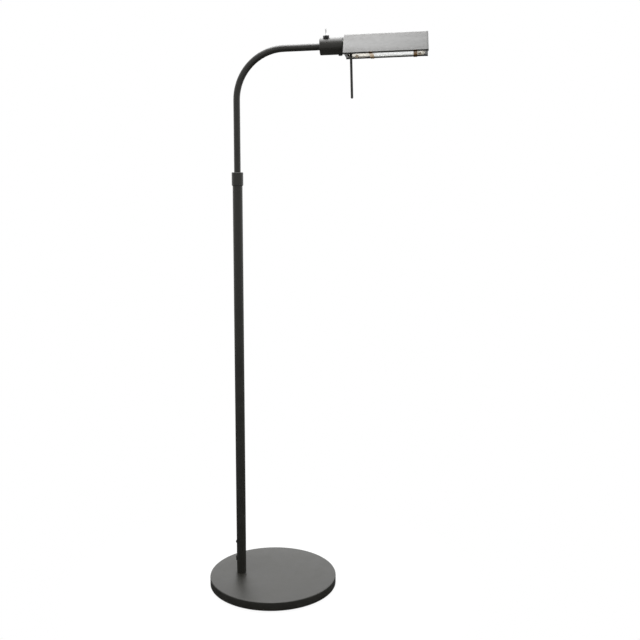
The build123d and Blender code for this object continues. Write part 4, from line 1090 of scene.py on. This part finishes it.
# Filament: tungsten wire wound in a close coil, stretched straight along the tube's middle.
# Its ends run straight into the sealed necks.

COIL_R = 0.45 * MM
COIL_PITCH = 0.42 * MM
WIRE_R = 0.09 * MM
COIL_MARGIN = 7.0 * MM
COIL_STEPS = 12
COIL_TAPER = 1.5
WIRE_SIDES = 6
LEAD_ROWS = 6
LEAD_START = 0.5 * MM
LEAD_GAP = 0.1 * MM
coil_turns = (quartz_l - 2 * COIL_MARGIN) / COIL_PITCH
way = np.linspace(0, 1, int(coil_turns * COIL_STEPS))
coil_turn = 2 * np.pi * coil_turns * way
coil_s = COIL_MARGIN + way * (quartz_l - 2 * COIL_MARGIN)
coil_wide = COIL_R * ramp(np.minimum(way, 1 - way) * coil_turns / COIL_TAPER)
radial = np.stack([np.zeros(len(way)), np.cos(coil_turn), np.sin(coil_turn)], -1)
coil_path = np.stack([coil_s, 0 * way, 0 * way], -1) + radial * coil_wide[:, None]
lead_in = np.linspace(LEAD_START, COIL_MARGIN - LEAD_GAP, LEAD_ROWS)[:, None] * (1, 0, 0)
lead_out = (quartz_l, 0, 0) - lead_in[::-1] * (1, 0, 0)
wire_path = np.concatenate([lead_in, coil_path, lead_out])
straight_side = np.repeat(radial[[0, -1]][:, None], LEAD_ROWS, 1)
wire_side = np.concatenate([straight_side[0], radial, straight_side[1]])
wire_run = np.gradient(wire_path, axis=0)
wire_cross = np.cross(wire_run, wire_side)
wire_cross = wire_cross / np.linalg.norm(wire_cross, axis=1, keepdims=True)
round_wire = np.linspace(0, 2 * np.pi, WIRE_SIDES, endpoint=False)[:, None]
wire_ring = np.cos(round_wire) * wire_side[:, None] + np.sin(round_wire) * wire_cross[:, None]
wire_grid = wire_path[:, None] + WIRE_R * wire_ring
wire_ends = np.repeat(wire_path[[0, -1]][:, None], WIRE_SIDES, 1)
wire_grid = np.concatenate([wire_ends[:1], wire_grid, wire_ends[1:]]) + quartz_place
coiled_filament = solid("coiled_filament", head(wire_grid))
tungsten = skinned(
    "tungsten_wire",
    {"Scale": 3000.0, "Dark": grey(0.22), "Light": grey(0.34),
     "Smooth": 0.3, "Rough": 0.5, "Depth": 0.01 * MM, "Round": 0.0},
    Metallic=1.0,
)
fit(coiled_filament, tungsten, "shade", "filament")


# Leads: stranded wire in woven glass sleeving soaked with silicone, from the holders into the stem.
# One runs over the reflector and down through a hole in its top.

sleeving = skinned(
    "silicone_sleeving",
    {"Scale": 1800.0, "Dark": (0.64, 0.61, 0.54, 1), "Light": (0.76, 0.73, 0.66, 1),
     "Smooth": 0.45, "Rough": 0.65, "Depth": 0.05 * MM},
    IOR=1.42,
)
dress(sleeving, "lamp_leads")


# Glass shield: a pane of acid-frosted heatproof glass with ground edges. It lies loose on the straps,
# reaches over the hems, keeps fingers off the lamp and spreads the light.

GLASS_CORNER = 1.5 * MM
GLASS_EDGE = 0.5 * MM
GLASS_MIDDLE = 12.0 * MM

glass_low, glass_high = reach("glass_shield")
glass_mid = (glass_low + glass_high) / 2
glass_half = (glass_high - glass_low) / 2
glass_t = glass_high[2] - glass_low[2]
pane_profile = rounded(
    [(GLASS_MIDDLE, 0), (0, 0), (0, glass_t), (GLASS_MIDDLE, glass_t)], GLASS_EDGE, steps=4
)
pane_corners = np.array([(-1, -1), (1, -1), (1, 1), (-1, 1)])
pane_rings = np.stack([
    rounded(pane_corners * (glass_half[:2] - inset), GLASS_CORNER, steps=6, closed=True)
    for inset in pane_profile[:, 0]
])
pane_rings = np.concatenate([0 * pane_rings[:1], pane_rings, 0 * pane_rings[:1]])
pane_rise = np.r_[0, pane_profile[:, 1], glass_t] - glass_t / 2
pane_grid = np.concatenate(
    [pane_rings, np.broadcast_to(pane_rise[:, None, None], (*pane_rings.shape[:2], 1))], -1
)
glass_pane = solid("glass_pane", head(pane_grid + glass_mid))
frosted = skinned(
    "frosted_glass",
    {"Scale": 2500.0, "Smooth": 0.16, "Rough": 0.26, "Depth": 0.01 * MM, "Round": 0.0},
    Base_Color=(0.95, 0.97, 0.95, 1),
    IOR=1.47,
    Transmission_Weight=0.5,
)
fit(glass_pane, frosted, "shade", "glass_shield")


# Glass straps: two strips of spring bronze that hook the shade's lips, run under its hems and step up
# inside them to carry the pane. They were rolled bright. The inner one is darker near its ends, as painted
# shade where it runs under the hems and round the lips. The outer one is painted darker from its middle on.

STRAP_T = 0.8 * MM
STRAP_SOFT = 0.2 * MM
STRAP_BEND = 0.6 * MM
STRAP_GAP = 0.1 * MM
BRONZE_DARK = (0.42, 0.30, 0.16, 1)
BRONZE_LIGHT = (0.62, 0.49, 0.31, 1)
BRONZE_DARKENED = (0.035, 0.020, 0.010, 1)
BRONZE_EDGE = (0.93, 0.84, 0.73, 1)
BROWN_EDGE = (0.31, 0.22, 0.14, 1)
# How far from the strap's middle the painted darkening starts and is full: for the inner strap, painted
# shade near its ends.
INNER_SHADE_SPAN = (34.0 * MM, 41.0 * MM)
OUTER_DARK_SPAN = (0.0, 46.0 * MM)


def eased(tree, value, near, far, low=0.0, high=1.0):
    """Output of a smooth step: low up to near, high from far on."""
    return node(
        tree, "MapRange", {"interpolation_type": "SMOOTHSTEP"},
        Value=value, From_Min=near, From_Max=far, To_Min=low, To_Max=high,
    )[0]


def darkened_bronze(name, dark_span, edge):
    """Rolled bronze, darkened with its distance from the strap's middle: none at the first, all at the
    second.
    Near the ends this darkening is painted shade, under the hems.

    Edge is the colour that the metal keeps when it is seen at a low angle.
    """
    material = skinned(
        name,
        {"Scale": 900.0, "Stretch": (1, 0.06, 1), "Dark": BRONZE_DARK, "Light": BRONZE_LIGHT,
         "Smooth": 0.20, "Rough": 0.32, "Depth": 0.004 * MM},
        Metallic=1.0,
        Specular_Tint=edge,
    )
    tree = material.node_tree
    tone = tree.nodes["Principled BSDF"].inputs["Base Color"]
    rolled = tone.links[0].from_socket
    place = node(tree, "TexCoord")["Object"]
    aside = node(tree, "SeparateXYZ", _0=place)["Y"]
    off_middle = node(tree, "Math", {"operation": "ABSOLUTE"}, _0=aside)[0]
    # Painted darkening by distance from the strap's middle: painted shade near the ends, under the hems.
    darkening = eased(tree, off_middle, *dark_span)
    darkened_tone = node(tree, "MixRGB", Fac=darkening, Color1=rolled, Color2=BRONZE_DARKENED)[0]
    tree.links.new(darkened_tone, tone)
    return material


for name, replaced, dark_span, edge in (
    ("inner_strap", "glass_strap_inner", INNER_SHADE_SPAN, BRONZE_EDGE),
    ("outer_strap", "glass_strap_outer", OUTER_DARK_SPAN, BROWN_EDGE),
):
    strap_low, strap_high = reach(replaced)
    strap_y = strap_high[1] - STRAP_T / 2
    strap_z = strap_low[2] + STRAP_T / 2
    step_y = half_w - SHELL_HEM - STRAP_GAP - STRAP_T / 2
    step_z = glass_low[2] - STRAP_T / 2
    half_path = np.array([(strap_y, strap_high[2]), (strap_y, strap_z), (step_y, strap_z), (step_y, step_z)])
    strap_path = rounded(np.concatenate([half_path * (-1, 1), half_path[::-1]]), STRAP_BEND)
    strap_section = flat_section(strap_low[0], strap_high[0], STRAP_T, STRAP_SOFT)
    strap = solid(name, head(folded(strap_path, strap_section, STRAP_SOFT)))
    fit(strap, darkened_bronze(name + "_bronze", dark_span, edge), "shade", replaced)


# Studio: a pale paper floor that fades to white, a white surround that is dimmer in front than behind,
# and one large soft lamp overhead and a little behind the object.

scene = bpy.context.scene
scene.view_settings.view_transform = "Standard"

FLOOR_R = 12.0
FLOOR_SIDES = 96
FLOOR_DROP = 0.3 * MM
FLOOR_TONE = 0.80
FADE_NEAR = 0.10
FADE_FAR = 0.45
FADE_LEAST = 0.85
FRONT_LEVEL = 0.75
BACK_LEVEL = 1.6
SKY_BLEND = 0.5
SWEEP_NEAR = 1.5
SWEEP_FAR = 5.0
FLOOR_NEAR_LEVEL = 0.08
FLOOR_FAR_LEVEL = 0.95


def looks(tree):
    """Kinds of ray in a tree, and 1 for the rays that look straight or through glass."""
    path = node(tree, "LightPath")
    camera, through = path["Is Camera Ray"], path["Is Transmission Ray"]
    return path, node(tree, "Math", {"operation": "MAXIMUM"}, _0=camera, _1=through)[0]


spread_turn = np.linspace(0, 2 * np.pi, FLOOR_SIDES, endpoint=False)
floor_points = np.stack([np.cos(spread_turn) * FLOOR_R, np.sin(spread_turn) * FLOOR_R, 0 * spread_turn], -1)
floor_mesh = bpy.data.meshes.new("studio_floor")
floor_mesh.from_pydata(floor_points - (0, 0, FLOOR_DROP), [], [list(range(FLOOR_SIDES))])
floor = bpy.data.objects.new("studio_floor", floor_mesh)
scene.collection.objects.link(floor)

paper = finish("floor_paper", Base_Color=grey(FLOOR_TONE), Roughness=0.9)[0]
paper_tree = paper.node_tree
paper_place = node(paper_tree, "TexCoord")["Object"]
away = node(paper_tree, "VectorMath", {"operation": "LENGTH"}, _0=paper_place)["Value"]
fade = eased(paper_tree, away, FADE_NEAR, FADE_FAR, FADE_LEAST)
path, straight = looks(paper_tree)
faded = times(paper_tree, fade, straight)
share = node(paper_tree, "Math", {"operation": "MAXIMUM"}, _0=faded, _1=path["Is Glossy Ray"])[0]
mirrored = eased(paper_tree, away, SWEEP_NEAR, SWEEP_FAR, FLOOR_NEAR_LEVEL, FLOOR_FAR_LEVEL)
white_level = node(paper_tree, "MixRGB", Fac=straight, Color1=mirrored, Color2=grey(1.0))[0]
white = node(paper_tree, "Emission", Color=white_level, Strength=1.0)[0]
paper_principled = paper_tree.nodes["Principled BSDF"].outputs[0]
mixed = node(paper_tree, "MixShader", _0=share, _1=paper_principled, _2=white)[0]
give(paper_tree, paper_tree.nodes["Material Output"].inputs, Surface=mixed)
floor_mesh.materials.append(paper)

world = bpy.data.worlds.new("studio_surround")
scene.world = world
world.use_nodes = True
sky = world.node_tree
sky.nodes.clear()
towards = node(sky, "TexCoord")["Generated"]
towards_y = node(sky, "SeparateXYZ", _0=towards)["Y"]
level = eased(sky, towards_y, -SKY_BLEND, SKY_BLEND, FRONT_LEVEL, BACK_LEVEL)
_, straight = looks(sky)
strength = node(sky, "MixRGB", Fac=straight, Color1=level, Color2=grey(1.0))[0]
surround = node(sky, "Background", Color=grey(1.0), Strength=strength)[0]
node(sky, "OutputWorld", Surface=surround)

SOFTBOX_PLACE = (-0.22, 0.40, 2.9)
SOFTBOX_AIM = (-0.22, 0.0, 1.07)
SOFTBOX_SIZE = (1.3, 3.0)
SOFTBOX_POWER = 80.0
softbox = bpy.data.lights.new("overhead_softbox", "AREA")
softbox.shape = "RECTANGLE"
softbox.size, softbox.size_y = SOFTBOX_SIZE
softbox.energy = SOFTBOX_POWER
lamp = bpy.data.objects.new("overhead_softbox", softbox)
scene.collection.objects.link(lamp)
lamp.location = SOFTBOX_PLACE
lamp.rotation_euler.x = np.arctan2(SOFTBOX_AIM[1] - SOFTBOX_PLACE[1], SOFTBOX_PLACE[2] - SOFTBOX_AIM[2])


# Camera: where the photograph was taken from, a little under the shade and to the right of the base,
# with a slightly long lens and a hair of roll.

CAMERA_PLACE = (0.2697, -1.7453, 0.8560)
CAMERA_TURN = radians(5.727)
CAMERA_DIP = radians(-9.874)
CAMERA_ROLL = radians(0.268)
CAMERA_LENS = 51.209
camera_data = bpy.data.cameras.new("photo_camera")
camera_data.lens = CAMERA_LENS
camera_data.sensor_width = 36.0
camera = bpy.data.objects.new("photo_camera", camera_data)
scene.collection.objects.link(camera)
camera.matrix_world = (
    Matrix.Translation(CAMERA_PLACE)
    @ Matrix.Rotation(CAMERA_TURN, 4, "Z")
    @ Matrix.Rotation(radians(90) + CAMERA_DIP, 4, "X")
    @ Matrix.Rotation(CAMERA_ROLL, 4, "Z")
)
scene.camera = camera
